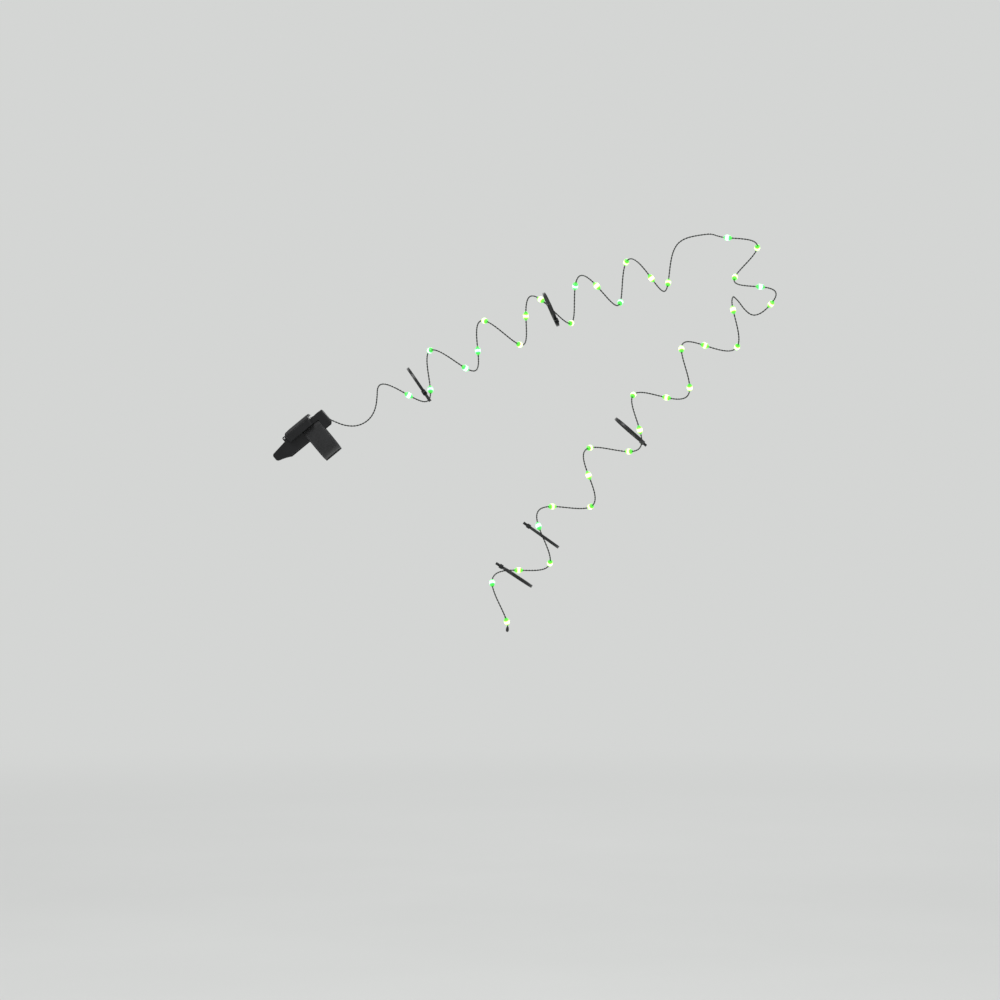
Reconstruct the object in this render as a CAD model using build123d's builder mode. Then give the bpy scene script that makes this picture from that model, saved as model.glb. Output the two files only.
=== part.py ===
from build123d import *
from math import acos, atan2, cos, degrees, pi, radians, sin, sqrt
import os

os.makedirs("parts", exist_ok=True)

# Battery-powered string of lamps, wound along three tubes, with its battery pack
# strapped on. Millimetres, +Z up, +X to the front, -Y to the side that is looked
# at. The origin is on the axis of the tube that carries the pack, halfway along
# the strap.

# Tube that carries the pack
CARRIER_R = 18.5
CARRIER_RISE = 39.5

# Pack body, lengths along the carrier tube from the strap's middle
PACK_REAR = -58.0
PACK_FRONT = 23.4
PACK_HALF_WIDTH = 18.3
CHEEK_DROP = 10.0
TAIL_HALF_WIDTH = 11.0
TAIL_TAPER_START = -38.0
TAIL_END_TOP = 25.4
WALL = 1.6
FLOOR = 1.1
SEAM = 0.1
BODY_CORNER_R = 3.0
CHEEK_REAR_BEVEL = 5.0
CHEEK_FRONT_BEVEL = 3.0

# Rubber pad between the pack and the tube
PAD_THICKNESS = 1.2
PAD_ANGLE = 57.0
PAD_END_MARGIN = 2.0

# Strap
STRAP_WIDTH = 24.0
STRAP_THICKNESS = 1.5
STRAP_CORNER_R = 5.0
STRAP_SLOT_WEB = 1.0
STRAP_PLAY = 0.3
STRAP_SEAT_PLAY = 0.2
STRAP_TAIL_FROM = 10.0
STRAP_TAIL_TO = -96.0

# Cells, laid across the tube
CELL_R = 5.25
CELL_LENGTH = 43.3
CELL_NUB_R = 1.9
CELL_NUB_LENGTH = 0.8
CELL_COUNT = 3
CELL_PLAY = 0.15
CONTACT_DEPTH = 2.4
CONTACT_SHEET = 0.4
CONTACT_WIDTH = 7.0

# Battery door
DOOR_THICKNESS = 1.3
DOOR_LIP = 3.1
DOOR_REAR_SLOPE = 9.0
DOOR_REAR_BEVEL = 2.2
DOOR_POCKET_INSET = 1.65
DOOR_CROWN = 1.6
GROOVE_LENGTH = 16.0
SEAL_THICKNESS = 0.5
SEAL_WIDTH = 1.0
HINGE_PIN_R = 1.0
HINGE_BARREL_R = 2.3
HINGE_FIT = 0.06
HINGE_KNUCKLE = 8.0
HINGE_EAR = 6.0
HINGE_GAP = 0.3

# Switch chamber, board and button
CHAMBER_WALL = 1.5
CHAMBER_HALF_WIDTH = 13.5
BOARD_THICKNESS = 1.0
BOARD_LIFT = 0.4
BOARD_PLAY = 2.5
CHIP_SIDE = 8.0
CHIP_LENGTH = 4.0
CHIP_WIDTH = 5.0
CHIP_HEIGHT = 1.1
SWITCH_SIZE = 5.2
SWITCH_HEIGHT = 1.0
PLUNGER_R = 0.8
PLUNGER_LENGTH = 1.6
BUTTON_R = 4.0
BUTTON_FLANGE_R = 5.0
BUTTON_FLANGE = 0.6
BUTTON_PROUD = 1.2
BUTTON_TRAVEL = 0.5
MOVING_GAP = 0.3
COVER_THICKNESS = 1.4
COVER_BELOW_DOOR = 6.2
CONNECTOR_WIDTH = 5.0
CONNECTOR_DEPTH = 2.6
CONNECTOR_HEIGHT = 2.6
SCREW_R = 1.0
SCREW_HEAD_R = 1.9
SCREW_HEAD = 1.1
SCREW_LENGTH = 4.5
SCREW_SIDES = 12

# Bent strips from the end contacts to the board
LEAD_THICKNESS = 0.5
LEAD_HEIGHT = 0.8
LEAD_LEVEL = 0.9
LEAD_HOLE = 1.2

# Wire of the string and its exit from the pack
WIRE_R = 0.9
WIRE_SIDES = 5
WIRE_STRAIGHT = 1.85
WIRE_END = 6.0
LOOP_FORWARD = 22.0
LOOP_SIDE = 23.7
LOOP_LEVEL = 22.0
WIRE_EXIT_INSET = 4.2
GROMMET_R = 1.9
GROMMET_BORE_R = 1.45
GROMMET_COLLAR_R = 3.2
GROMMET_COLLAR = 1.3
GROMMET_FLANGE_R = 2.15
GROMMET_BOOT = 9.5
GROMMET_ROOT_R = 2.7
GROMMET_TIP_R = 1.9
GROMMET_SIDES = 12

# Lamps on the string
LAMP_R = 3.2
LAMP_LENGTH = 11.0
LAMP_SIDES = 8
LAMP_CHAMFER = 0.9
LAMP_BORE_R = 1.65
LAMP_SINK = 0.28
LAMP_SEAT_GAP = 0.2
LAMP_COUNT_PER_TURN = 3
END_CAP_LENGTH = 8.0
END_CAP_R = 1.9
END_CAP_DEPTH = 6.0

# Cable ties
TIE_WIDTH = 3.6
TIE_THICKNESS = 1.2
TIE_HUMP_R = 10.4
TIE_WIRE_GAP = 1.1
TIE_HEAD = 5.4
TIE_HEAD_HEIGHT = 4.4
TIE_TAIL = 5.0

# Planes of the pack: along the tube and across it, square to the tube, and its side view
rise = radians(CARRIER_RISE)
TUBEWARD = Vector(cos(rise), 0, sin(rise))
UPWARD = Vector(-sin(rise), 0, cos(rise))
FRONT = Vector(0, -1, 0)
PACK = Plane((0, 0, 0), x_dir=TUBEWARD, z_dir=UPWARD)
CROSS = Plane((0, 0, 0), x_dir=(0, 1, 0), z_dir=TUBEWARD)
SIDE = Plane((0, 0, 0), x_dir=TUBEWARD, z_dir=FRONT)

# Levels above the carrier tube's axis
pad_top_r = CARRIER_R + PAD_THICKNESS
slot_floor = pad_top_r + SEAM / 2 + STRAP_SLOT_WEB
slot_roof = slot_floor + STRAP_THICKNESS + 0.4
tray_floor = slot_roof + FLOOR
cell_level = tray_floor + CELL_PLAY + CELL_R
rim_level = cell_level + 2.2
door_level = rim_level + SEAM + SEAL_THICKNESS
door_ceiling = cell_level + CELL_R + 0.25
door_top = door_ceiling + DOOR_THICKNESS
cover_top = door_top - COVER_BELOW_DOOR
cover_level = cover_top - COVER_THICKNESS
board_level = tray_floor + BOARD_LIFT
board_top = board_level + BOARD_THICKNESS

# Cell box, along the tube and across it
cell_pitch = 2 * CELL_R + CELL_PLAY
box_half_length = (CELL_COUNT * cell_pitch + CELL_PLAY) / 2 + WALL
box_front = 4.6
box_middle = box_front - box_half_length
box_rear = box_front - 2 * box_half_length
tray_half_width = (CELL_LENGTH + CELL_NUB_LENGTH) / 2 + CONTACT_DEPTH
box_half_width = tray_half_width + WALL
hinge_place = box_rear - HINGE_BARREL_R - 0.5
hinge_level = rim_level
tail_top = hinge_level - HINGE_BARREL_R - 0.7

# Chamber along the tube
chamber_rear = box_front + CHAMBER_WALL - 0.1
chamber_front = PACK_FRONT - CHAMBER_WALL
board_rear = chamber_rear + 0.6
board_front = chamber_front - 0.6
board_half_width = CHAMBER_HALF_WIDTH - BOARD_PLAY
button_place = (chamber_rear + chamber_front) / 2 + 1.5
screw_place = chamber_rear + 2.2
screw_side = (CHAMBER_HALF_WIDTH + PACK_HALF_WIDTH) / 2
flange_level = cover_level - SEAM - BUTTON_FLANGE
wire_exit_place = chamber_front - WIRE_EXIT_INSET
wire_exit_level = tray_floor + GROMMET_R + 0.45
lead_level = tray_floor + LEAD_LEVEL
lead_side = CHAMBER_HALF_WIDTH - 0.7

# Strap, and the place where it comes to lie on the tube
strap_clearance = STRAP_THICKNESS / 2 + STRAP_SEAT_PLAY
strap_level = slot_floor + strap_clearance
strap_side = PACK_HALF_WIDTH + strap_clearance
strap_r = CARRIER_R + STRAP_THICKNESS / 2
strap_reach = sqrt(strap_side**2 + strap_level**2)
touch_angle = degrees(atan2(strap_level, strap_side) - acos(strap_r / strap_reach))
touch_side = strap_r * cos(radians(touch_angle))
touch_level = strap_r * sin(radians(touch_angle))


def write(piece, name):
    """Label a finished piece and write its own file."""
    piece.part.label = name
    export_step(piece.part, f"parts/{name}.step")
    print(name, len(piece.part.solids()), "solids")


def pack_point(along, across, level):
    """A point of the pack's own frame in the part's frame."""
    return PACK.from_local_coords(Vector(along, across, level))


def strap_loop():
    """Centre line of the strap: flat through the slot, down both sides and round the tube."""
    FilletPolyline(
        (-touch_side, touch_level),
        (-strap_side, strap_level),
        (strap_side, strap_level),
        (touch_side, touch_level),
        radius=STRAP_CORNER_R,
    )
    CenterArc((0, 0), strap_r, 180 - touch_angle, 180 + 2 * touch_angle)


# Section of what lies inside the strap, with room for it to move
with BuildSketch() as strap_inside:
    with BuildLine():
        strap_loop()
    make_face()
    offset(amount=-strap_clearance, kind=Kind.ARC, mode=Mode.REPLACE)


# Rubber pad, a shell between the tube and the saddle, narrowing with the tail
with BuildPart() as saddle_pad:
    pad_rear = PACK_REAR + PAD_END_MARGIN
    pad_front = PACK_FRONT - PAD_END_MARGIN
    with BuildSketch(CROSS.offset(pad_rear)):
        with BuildLine():
            inner = CenterArc((0, 0), CARRIER_R, 90 - PAD_ANGLE, 2 * PAD_ANGLE)
            outer = CenterArc((0, 0), pad_top_r, 90 - PAD_ANGLE, 2 * PAD_ANGLE)
            Line(inner @ 0, outer @ 0)
            Line(inner @ 1, outer @ 1)
        make_face()
    extrude(amount=pad_front - pad_rear)
    with BuildSketch(PACK):
        with BuildLine():
            Polyline(
                (pad_front, -PACK_HALF_WIDTH),
                (TAIL_TAPER_START, -PACK_HALF_WIDTH + PAD_END_MARGIN),
                (pad_rear, -TAIL_HALF_WIDTH + PAD_END_MARGIN),
                (pad_rear, TAIL_HALF_WIDTH - PAD_END_MARGIN),
                (TAIL_TAPER_START, PACK_HALF_WIDTH - PAD_END_MARGIN),
                (pad_front, PACK_HALF_WIDTH),
                close=True,
            )
        make_face()
    extrude(amount=pad_top_r + 1, mode=Mode.INTERSECT)
write(saddle_pad, "saddle_pad")


# Case: a saddle with a tapered tail, the cell tray across it and the switch chamber
with BuildPart() as case_base:
    with BuildSketch(SIDE):
        with BuildLine():
            Polyline(
                (PACK_REAR, CHEEK_DROP + 0.8 * CHEEK_REAR_BEVEL),
                (PACK_REAR + CHEEK_REAR_BEVEL, CHEEK_DROP),
                (PACK_FRONT - CHEEK_FRONT_BEVEL, CHEEK_DROP),
                (PACK_FRONT, CHEEK_DROP + CHEEK_FRONT_BEVEL),
                (PACK_FRONT, cover_level),
                (box_front, cover_level),
                (box_rear, tail_top),
                (PACK_REAR + 2, TAIL_END_TOP),
                (PACK_REAR, TAIL_END_TOP - 2),
                close=True,
            )
        make_face()
    extrude(amount=PACK_HALF_WIDTH, both=True)
    with BuildSketch(PACK):
        with BuildLine():
            Polyline(
                (PACK_FRONT, -PACK_HALF_WIDTH),
                (TAIL_TAPER_START, -PACK_HALF_WIDTH),
                (PACK_REAR, -TAIL_HALF_WIDTH),
                (PACK_REAR, TAIL_HALF_WIDTH),
                (TAIL_TAPER_START, PACK_HALF_WIDTH),
                (PACK_FRONT, PACK_HALF_WIDTH),
                close=True,
            )
        outline = make_face()
        fillet(outline.vertices(), BODY_CORNER_R)
    extrude(amount=door_top, mode=Mode.INTERSECT)
    # cell box
    with BuildSketch(PACK.offset(slot_roof)):
        with Locations((box_middle, 0)):
            RectangleRounded(2 * box_half_length, 2 * box_half_width, BODY_CORNER_R)
    extrude(amount=rim_level - slot_roof)
    # seat on the pad
    with BuildSketch(CROSS.offset(PACK_REAR - 1)):
        Circle(pad_top_r + SEAM / 2)
    extrude(amount=PACK_FRONT - PACK_REAR + 2, mode=Mode.SUBTRACT)
    # slot for the strap, with rounded edges that it bends over
    with BuildSketch(CROSS.offset(-STRAP_WIDTH / 2 - STRAP_PLAY)):
        Rectangle(2 * box_half_width + 2, 2 * slot_roof)
        add(strap_inside.sketch, mode=Mode.SUBTRACT)
    extrude(amount=STRAP_WIDTH + 2 * STRAP_PLAY, mode=Mode.SUBTRACT)
    # cell tray
    with BuildSketch(PACK.offset(tray_floor)):
        with Locations((box_middle, 0)):
            RectangleRounded(
                2 * (box_half_length - WALL), 2 * tray_half_width, BODY_CORNER_R - WALL
            )
    extrude(amount=door_top, mode=Mode.SUBTRACT)
    # ribs between the cells
    with BuildSketch(PACK.offset(tray_floor)):
        for side in (-1, 1):
            for gap in range(1, CELL_COUNT):
                rib_place = box_rear + WALL + CELL_PLAY / 2 + gap * cell_pitch
                with Locations((rib_place, side * CELL_LENGTH / 4)):
                    Rectangle(0.8, CELL_LENGTH / 4)
    extrude(amount=CELL_R * 0.35)
    # switch chamber with two ledges for the board
    with BuildSketch(PACK.offset(tray_floor)):
        with Locations(((chamber_rear + chamber_front) / 2, 0)):
            Rectangle(chamber_front - chamber_rear, 2 * CHAMBER_HALF_WIDTH)
    extrude(amount=door_top, mode=Mode.SUBTRACT)
    with BuildSketch(PACK.offset(tray_floor)):
        for ledge in (board_rear + 1, board_front - 1):
            with Locations((ledge, 0)):
                Rectangle(1.6, 2 * board_half_width)
    extrude(amount=BOARD_LIFT)
    # screw holes of the cover
    with BuildSketch(PACK.offset(cover_level)):
        with Locations((screw_place, screw_side), (screw_place, -screw_side)):
            RegularPolygon(SCREW_R, SCREW_SIDES)
    extrude(amount=-(SCREW_LENGTH - COVER_THICKNESS + 0.6), mode=Mode.SUBTRACT)
    # wire exit on the far side
    with BuildSketch(SIDE.offset(-PACK_HALF_WIDTH - 1)):
        with Locations((wire_exit_place, wire_exit_level)):
            Circle(GROMMET_R)
    extrude(amount=PACK_HALF_WIDTH - CHAMBER_HALF_WIDTH + 2, mode=Mode.SUBTRACT)
    # holes that let the leads of the cells into the chamber
    with BuildSketch(CROSS.offset(box_front - WALL - 0.5)):
        with Locations((lead_side, lead_level), (-lead_side, lead_level)):
            Rectangle(LEAD_HOLE, LEAD_HOLE)
    extrude(amount=chamber_rear - box_front + WALL + 1, mode=Mode.SUBTRACT)
    # hinge ears
    ear_inner = HINGE_KNUCKLE + HINGE_GAP
    for side in (-1, 1):
        ear_start = ear_inner if side == 1 else -ear_inner - HINGE_EAR
        with BuildSketch(SIDE.offset(-ear_start)):
            with Locations((hinge_place, hinge_level)):
                Circle(HINGE_BARREL_R)
            with BuildLine():
                Polyline(
                    (hinge_place, hinge_level + 0.4),
                    (box_rear + 0.5, hinge_level - 0.6),
                    (box_rear + 0.5, tail_top - 0.5),
                    (hinge_place - HINGE_BARREL_R, tail_top - 0.5),
                    (hinge_place - HINGE_BARREL_R, hinge_level),
                    close=True,
                )
            make_face()
        extrude(amount=-HINGE_EAR)
    with BuildSketch(SIDE):
        with Locations((hinge_place, hinge_level)):
            Circle(HINGE_PIN_R + 0.01)
    extrude(amount=ear_inner + HINGE_EAR + 1, both=True, mode=Mode.SUBTRACT)
write(case_base, "case_base")


# Battery door with its knuckle, crowned top and finger lip
with BuildPart() as battery_door:
    with BuildSketch(SIDE):
        with BuildLine():
            Polyline(
                (box_rear, door_level),
                (box_front, door_level),
                (box_front, door_top - 1.4),
                (box_front + DOOR_LIP, door_top - 1.1),
                (box_front + DOOR_LIP, door_top - 0.4),
                (box_front, door_top),
                (box_rear + DOOR_REAR_SLOPE, door_top),
                (box_rear + DOOR_REAR_BEVEL, door_top - 0.9),
                (box_rear, door_level + 1.4),
                close=True,
            )
        make_face()
    extrude(amount=box_half_width, both=True)
    with BuildSketch(PACK.offset(door_level)):
        with BuildLine():
            Polyline(
                (box_rear, -box_half_width),
                (box_front + DOOR_LIP, -box_half_width),
                (box_front + DOOR_LIP, box_half_width),
                (box_rear, box_half_width),
                close=True,
            )
        plan = make_face()
        fillet(plan.vertices(), BODY_CORNER_R)
    extrude(amount=door_top - door_level, mode=Mode.INTERSECT)
    with BuildSketch(CROSS.offset(box_rear)):
        with BuildLine():
            Polyline(
                (-box_half_width, door_level),
                (-box_half_width, door_top - 2 * DOOR_CROWN),
                (-box_half_width + DOOR_CROWN, door_top - DOOR_CROWN / 2),
                (-box_half_width + 3 * DOOR_CROWN, door_top),
                (box_half_width - 3 * DOOR_CROWN, door_top),
                (box_half_width - DOOR_CROWN, door_top - DOOR_CROWN / 2),
                (box_half_width, door_top - 2 * DOOR_CROWN),
                (box_half_width, door_level),
                close=True,
            )
        make_face()
    extrude(amount=2 * box_half_length + DOOR_LIP, mode=Mode.INTERSECT)
    # room for the cells
    with BuildSketch(PACK.offset(door_level)):
        with Locations((box_middle, 0)):
            RectangleRounded(
                2 * (box_half_length - WALL), 2 * tray_half_width, BODY_CORNER_R - WALL
            )
    extrude(amount=1.2, mode=Mode.SUBTRACT)
    with BuildSketch(PACK.offset(door_level)):
        with Locations((box_middle, 0)):
            pocket_length = 2 * (box_half_length - WALL - DOOR_POCKET_INSET)
            RectangleRounded(pocket_length, CELL_LENGTH + 2, BODY_CORNER_R - WALL)
    extrude(amount=door_ceiling - door_level, mode=Mode.SUBTRACT)
    # finger grooves beside the lip
    with BuildSketch(PACK.offset(door_top)):
        for groove in (0, 1, 2):
            with Locations((box_front - 2.5 - 2.2 * groove, 0)):
                Rectangle(0.9, GROOVE_LENGTH)
    extrude(amount=-0.4, mode=Mode.SUBTRACT)
    # knuckle
    with BuildSketch(SIDE.offset(-HINGE_KNUCKLE)):
        with Locations((hinge_place, hinge_level)):
            Circle(HINGE_BARREL_R)
        with BuildLine():
            Polyline(
                (hinge_place, hinge_level + HINGE_BARREL_R),
                (box_rear + 1, hinge_level + HINGE_BARREL_R),
                (box_rear + 1, door_level),
                (hinge_place, door_level),
                close=True,
            )
        make_face()
    extrude(amount=2 * HINGE_KNUCKLE)
    with BuildSketch(SIDE):
        with Locations((hinge_place, hinge_level)):
            Circle(HINGE_PIN_R + HINGE_FIT)
    extrude(amount=HINGE_KNUCKLE + 1, both=True, mode=Mode.SUBTRACT)
write(battery_door, "battery_door")


with BuildPart() as hinge_pin:
    pin_half = HINGE_KNUCKLE + HINGE_GAP + HINGE_EAR
    with BuildSketch(SIDE):
        with Locations((hinge_place, hinge_level)):
            Circle(HINGE_PIN_R)
    extrude(amount=pin_half, both=True)
write(hinge_pin, "hinge_pin")


# Rubber frame between the tray's rim and the door
with BuildPart() as door_seal:
    with BuildSketch(PACK.offset(rim_level + SEAM)):
        with Locations((box_middle, 0)):
            frame_length = 2 * box_half_length - 0.5
            frame_width = 2 * box_half_width - 0.5
            outer_frame = Rectangle(frame_length, frame_width)
            chamfer(outer_frame.vertices(), BODY_CORNER_R / 2)
            Rectangle(
                frame_length - 2 * SEAL_WIDTH, frame_width - 2 * SEAL_WIDTH, mode=Mode.SUBTRACT
            )
    extrude(amount=SEAL_THICKNESS)
write(door_seal, "door_seal")


# Three cells side by side, the middle one turned round
for number in range(CELL_COUNT):
    place = box_rear + WALL + CELL_PLAY + CELL_R + number * cell_pitch
    way = 1 if number % 2 == 0 else -1
    rear_end = way * (CELL_LENGTH + CELL_NUB_LENGTH) / 2
    with BuildPart() as cell:
        with BuildSketch(Plane(pack_point(place, rear_end, cell_level), z_dir=(0, -way, 0))):
            Circle(CELL_R)
        extrude(amount=CELL_LENGTH)
        with BuildSketch(cell.faces().sort_by(Axis((0, 0, 0), (0, -way, 0)))[-1]):
            RegularPolygon(CELL_NUB_R, LAMP_SIDES)
        extrude(amount=CELL_NUB_LENGTH)
    write(cell, f"cell_{number + 1}")


# Sprung contacts of bent sheet; a link joins two neighbours, an end one serves one cell
contact_room = CONTACT_DEPTH - 0.15
contacts = {
    "contact_link_far": (1, (0, 1)),
    "contact_end_far": (1, (2,)),
    "contact_end_near": (-1, (0,)),
    "contact_link_near": (-1, (1, 2)),
}
for name, (side, served) in contacts.items():
    wall_face = side * (tray_half_width - 0.05)
    with BuildPart() as contact:
        for number in served:
            place = box_rear + WALL + CELL_PLAY + CELL_R + number * cell_pitch
            with BuildSketch(CROSS.offset(place - CONTACT_WIDTH / 2)):
                with BuildLine():
                    Polyline(
                        (wall_face, tray_floor + 0.3),
                        (wall_face, cell_level + 3.8),
                        (wall_face - side * CONTACT_SHEET, cell_level + 3.8),
                        (wall_face - side * contact_room, cell_level),
                        (wall_face - side * (CONTACT_SHEET + 0.5), cell_level - 3.4),
                        (wall_face - side * (CONTACT_SHEET + 0.1), cell_level - 3.1),
                        (wall_face - side * (contact_room - 0.45), cell_level),
                        (wall_face - side * CONTACT_SHEET, cell_level + 3.0),
                        (wall_face - side * CONTACT_SHEET, tray_floor + 0.3),
                        close=True,
                    )
                make_face()
            extrude(amount=CONTACT_WIDTH)
        if len(served) > 1:
            link_start = box_rear + WALL + CELL_PLAY + CELL_R + served[0] * cell_pitch
            with BuildSketch(CROSS.offset(link_start)):
                with Locations((wall_face - side * CONTACT_SHEET / 2, cell_level - 3)):
                    Rectangle(CONTACT_SHEET, 3)
            extrude(amount=cell_pitch)
    write(contact, name)


# Board on its ledges with a driver chip, a dropper resistor and the switch
with BuildPart() as circuit_board:
    with BuildSketch(PACK.offset(board_level)):
        with Locations(((board_rear + board_front) / 2, 0)):
            Rectangle(board_front - board_rear, 2 * board_half_width)
    extrude(amount=BOARD_THICKNESS)
write(circuit_board, "circuit_board")

with BuildPart() as driver_chip:
    with BuildSketch(PACK.offset(board_top)):
        with Locations((button_place - 4, -CHIP_SIDE)):
            Rectangle(CHIP_LENGTH, CHIP_WIDTH)
    extrude(amount=CHIP_HEIGHT)
    chamfer(driver_chip.faces().sort_by(Axis((0, 0, 0), UPWARD))[-1].edges(), 0.2)
write(driver_chip, "driver_chip")

with BuildPart() as dropper_resistor:
    with BuildSketch(PACK.offset(board_top)):
        with Locations((button_place - 4, CHIP_SIDE)):
            Rectangle(1.6, 3.2)
    extrude(amount=0.6)
write(dropper_resistor, "dropper_resistor")

with BuildPart() as tact_switch:
    with BuildSketch(PACK.offset(board_top)):
        with Locations((button_place, 0)):
            Rectangle(SWITCH_SIZE, SWITCH_SIZE)
    extrude(amount=SWITCH_HEIGHT)
    chamfer(tact_switch.edges().filter_by(Axis((0, 0, 0), UPWARD)), 0.6)
    with BuildSketch(PACK.offset(board_top + SWITCH_HEIGHT)):
        with Locations((button_place, 0)):
            RegularPolygon(PLUNGER_R + MOVING_GAP, LAMP_SIDES)
    extrude(amount=-SWITCH_HEIGHT + 0.2, mode=Mode.SUBTRACT)
write(tact_switch, "tact_switch")

with BuildPart() as switch_plunger:
    with BuildSketch(PACK.offset(flange_level - SEAM / 2)):
        with Locations((button_place, 0)):
            RegularPolygon(PLUNGER_R, LAMP_SIDES)
    extrude(amount=-PLUNGER_LENGTH)
write(switch_plunger, "switch_plunger")


# Push button with a flange under the cover
with BuildPart() as push_button:
    with BuildSketch(PACK.offset(flange_level)):
        with Locations((button_place, 0)):
            Circle(BUTTON_FLANGE_R)
    extrude(amount=BUTTON_FLANGE)
    with BuildSketch(PACK.offset(flange_level)):
        with Locations((button_place, 0)):
            Circle(BUTTON_R)
    extrude(amount=cover_top + BUTTON_PROUD - flange_level)
    crown = push_button.faces().sort_by(Axis((0, 0, 0), UPWARD))[-1]
    chamfer(crown.edges(), 0.6)
write(push_button, "push_button")


with BuildPart() as switch_cover:
    with BuildSketch(PACK.offset(cover_level)):
        with BuildLine():
            Polyline(
                (box_front + SEAM, -PACK_HALF_WIDTH),
                (PACK_FRONT, -PACK_HALF_WIDTH),
                (PACK_FRONT, PACK_HALF_WIDTH),
                (box_front + SEAM, PACK_HALF_WIDTH),
                close=True,
            )
        cover_plan = make_face()
        fillet(cover_plan.vertices().group_by(Axis.X)[-1], BODY_CORNER_R)
    extrude(amount=COVER_THICKNESS)
    with BuildSketch(PACK.offset(cover_level)):
        with Locations((button_place, 0)):
            Circle(BUTTON_R + MOVING_GAP)
        with Locations((screw_place, screw_side), (screw_place, -screw_side)):
            RegularPolygon(SCREW_R + 0.1, SCREW_SIDES)
    extrude(amount=COVER_THICKNESS, mode=Mode.SUBTRACT)
write(switch_cover, "switch_cover")


# Two pan-head screws that hold the cover
with BuildPart() as cover_screws:
    for side in (-1, 1):
        with BuildSketch(PACK.offset(cover_top + 0.02)):
            with Locations((screw_place, side * screw_side)):
                RegularPolygon(SCREW_HEAD_R, SCREW_SIDES)
        extrude(amount=SCREW_HEAD)
        with BuildSketch(PACK.offset(cover_top + 0.02 + SCREW_HEAD)):
            with Locations((screw_place, side * screw_side)):
                Rectangle(0.5, 2.4)
                Rectangle(2.4, 0.5)
        extrude(amount=-0.6, mode=Mode.SUBTRACT)
        with BuildSketch(PACK.offset(cover_top + 0.02)):
            with Locations((screw_place, side * screw_side)):
                RegularPolygon(SCREW_R - 0.05, SCREW_SIDES)
        extrude(amount=-SCREW_LENGTH)
write(cover_screws, "cover_screws")


# Strap: flat through the slot, round the tube, with its tail pressed on below
with BuildPart() as strap:
    with BuildSketch(CROSS.offset(-STRAP_WIDTH / 2)):
        with BuildLine():
            strap_loop()
        make_face()
        offset(amount=STRAP_THICKNESS / 2, kind=Kind.ARC)
        offset(amount=-STRAP_THICKNESS, kind=Kind.ARC, mode=Mode.SUBTRACT)
    extrude(amount=STRAP_WIDTH)
    # free end, pressed on the outside of the band
    with BuildSketch(CROSS.offset(-STRAP_WIDTH / 2)):
        with BuildLine():
            sweep_angle = STRAP_TAIL_TO - STRAP_TAIL_FROM
            lower = CenterArc((0, 0), strap_r, STRAP_TAIL_FROM, sweep_angle)
            upper = CenterArc((0, 0), strap_r + 1.5 * STRAP_THICKNESS, STRAP_TAIL_FROM, sweep_angle)
            Line(lower @ 0, upper @ 0)
            Line(lower @ 1, upper @ 1)
        make_face()
    extrude(amount=STRAP_WIDTH)
write(strap, "strap")


# Strips from the end contacts through the tray's front wall to the board
with BuildPart() as battery_leads:
    tab_face = tray_half_width - 0.05 - CONTACT_SHEET
    corner = box_front - WALL - 0.7
    end_place = board_rear + 2.0
    near_start = box_rear + WALL + CELL_PLAY + CELL_R
    runs = (
        (
            (corner, tab_face),
            (corner, lead_side),
            (end_place, lead_side),
            (end_place, board_half_width),
        ),
        (
            (near_start, -tab_face),
            (near_start, -tab_face + 1.0),
            (corner, -tab_face + 1.0),
            (corner, -lead_side),
            (end_place, -lead_side),
            (end_place, -board_half_width),
        ),
    )
    for points in runs:
        with BuildLine(PACK.offset(lead_level)) as lead:
            Polyline(*points)
        with BuildSketch(Plane(origin=lead.line @ 0, x_dir=UPWARD, z_dir=lead.line % 0)):
            Rectangle(LEAD_HEIGHT, LEAD_THICKNESS)
        sweep(path=lead.line, transition=Transition.RIGHT)
write(battery_leads, "battery_leads")


# Connector of the string on the board
with BuildPart() as lead_connector:
    with BuildSketch(PACK.offset(board_top)):
        with Locations((wire_exit_place, board_half_width - 2 - CONNECTOR_DEPTH / 2)):
            Rectangle(CONNECTOR_WIDTH, CONNECTOR_DEPTH)
    extrude(amount=CONNECTOR_HEIGHT)
    chamfer(lead_connector.faces().sort_by(Axis((0, 0, 0), UPWARD))[-1].edges(), 0.3)
write(lead_connector, "lead_connector")


# Grommet in the far wall of the chamber, with a tapering boot round the wire
with BuildPart() as lead_grommet:
    exit_point = pack_point(wire_exit_place, 0, wire_exit_level)
    wall_plane = Plane(exit_point, x_dir=TUBEWARD, z_dir=(0, 1, 0))
    collar_start = PACK_HALF_WIDTH + 0.05
    boot_start = collar_start + GROMMET_COLLAR
    stages = (
        (CHAMBER_HALF_WIDTH - 0.6, 0.55, GROMMET_FLANGE_R),
        (CHAMBER_HALF_WIDTH - 0.6, collar_start - CHAMBER_HALF_WIDTH + 0.7, GROMMET_R - 0.05),
        (collar_start, GROMMET_COLLAR, GROMMET_COLLAR_R),
    )
    for start_side, stage_length, stage_r in stages:
        with BuildSketch(wall_plane.offset(start_side)):
            RegularPolygon(stage_r, GROMMET_SIDES)
        extrude(amount=stage_length)
    for boot_place, boot_r in ((boot_start, GROMMET_ROOT_R), (boot_start + GROMMET_BOOT, GROMMET_TIP_R)):
        with BuildSketch(wall_plane.offset(boot_place)):
            RegularPolygon(boot_r, GROMMET_SIDES)
    loft(ruled=True)
    with BuildSketch(wall_plane.offset(CHAMBER_HALF_WIDTH - 1)):
        RegularPolygon(GROMMET_BORE_R, WIRE_SIDES)
    extrude(amount=boot_start + GROMMET_BOOT, mode=Mode.SUBTRACT)
write(lead_grommet, "lead_grommet")


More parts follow.
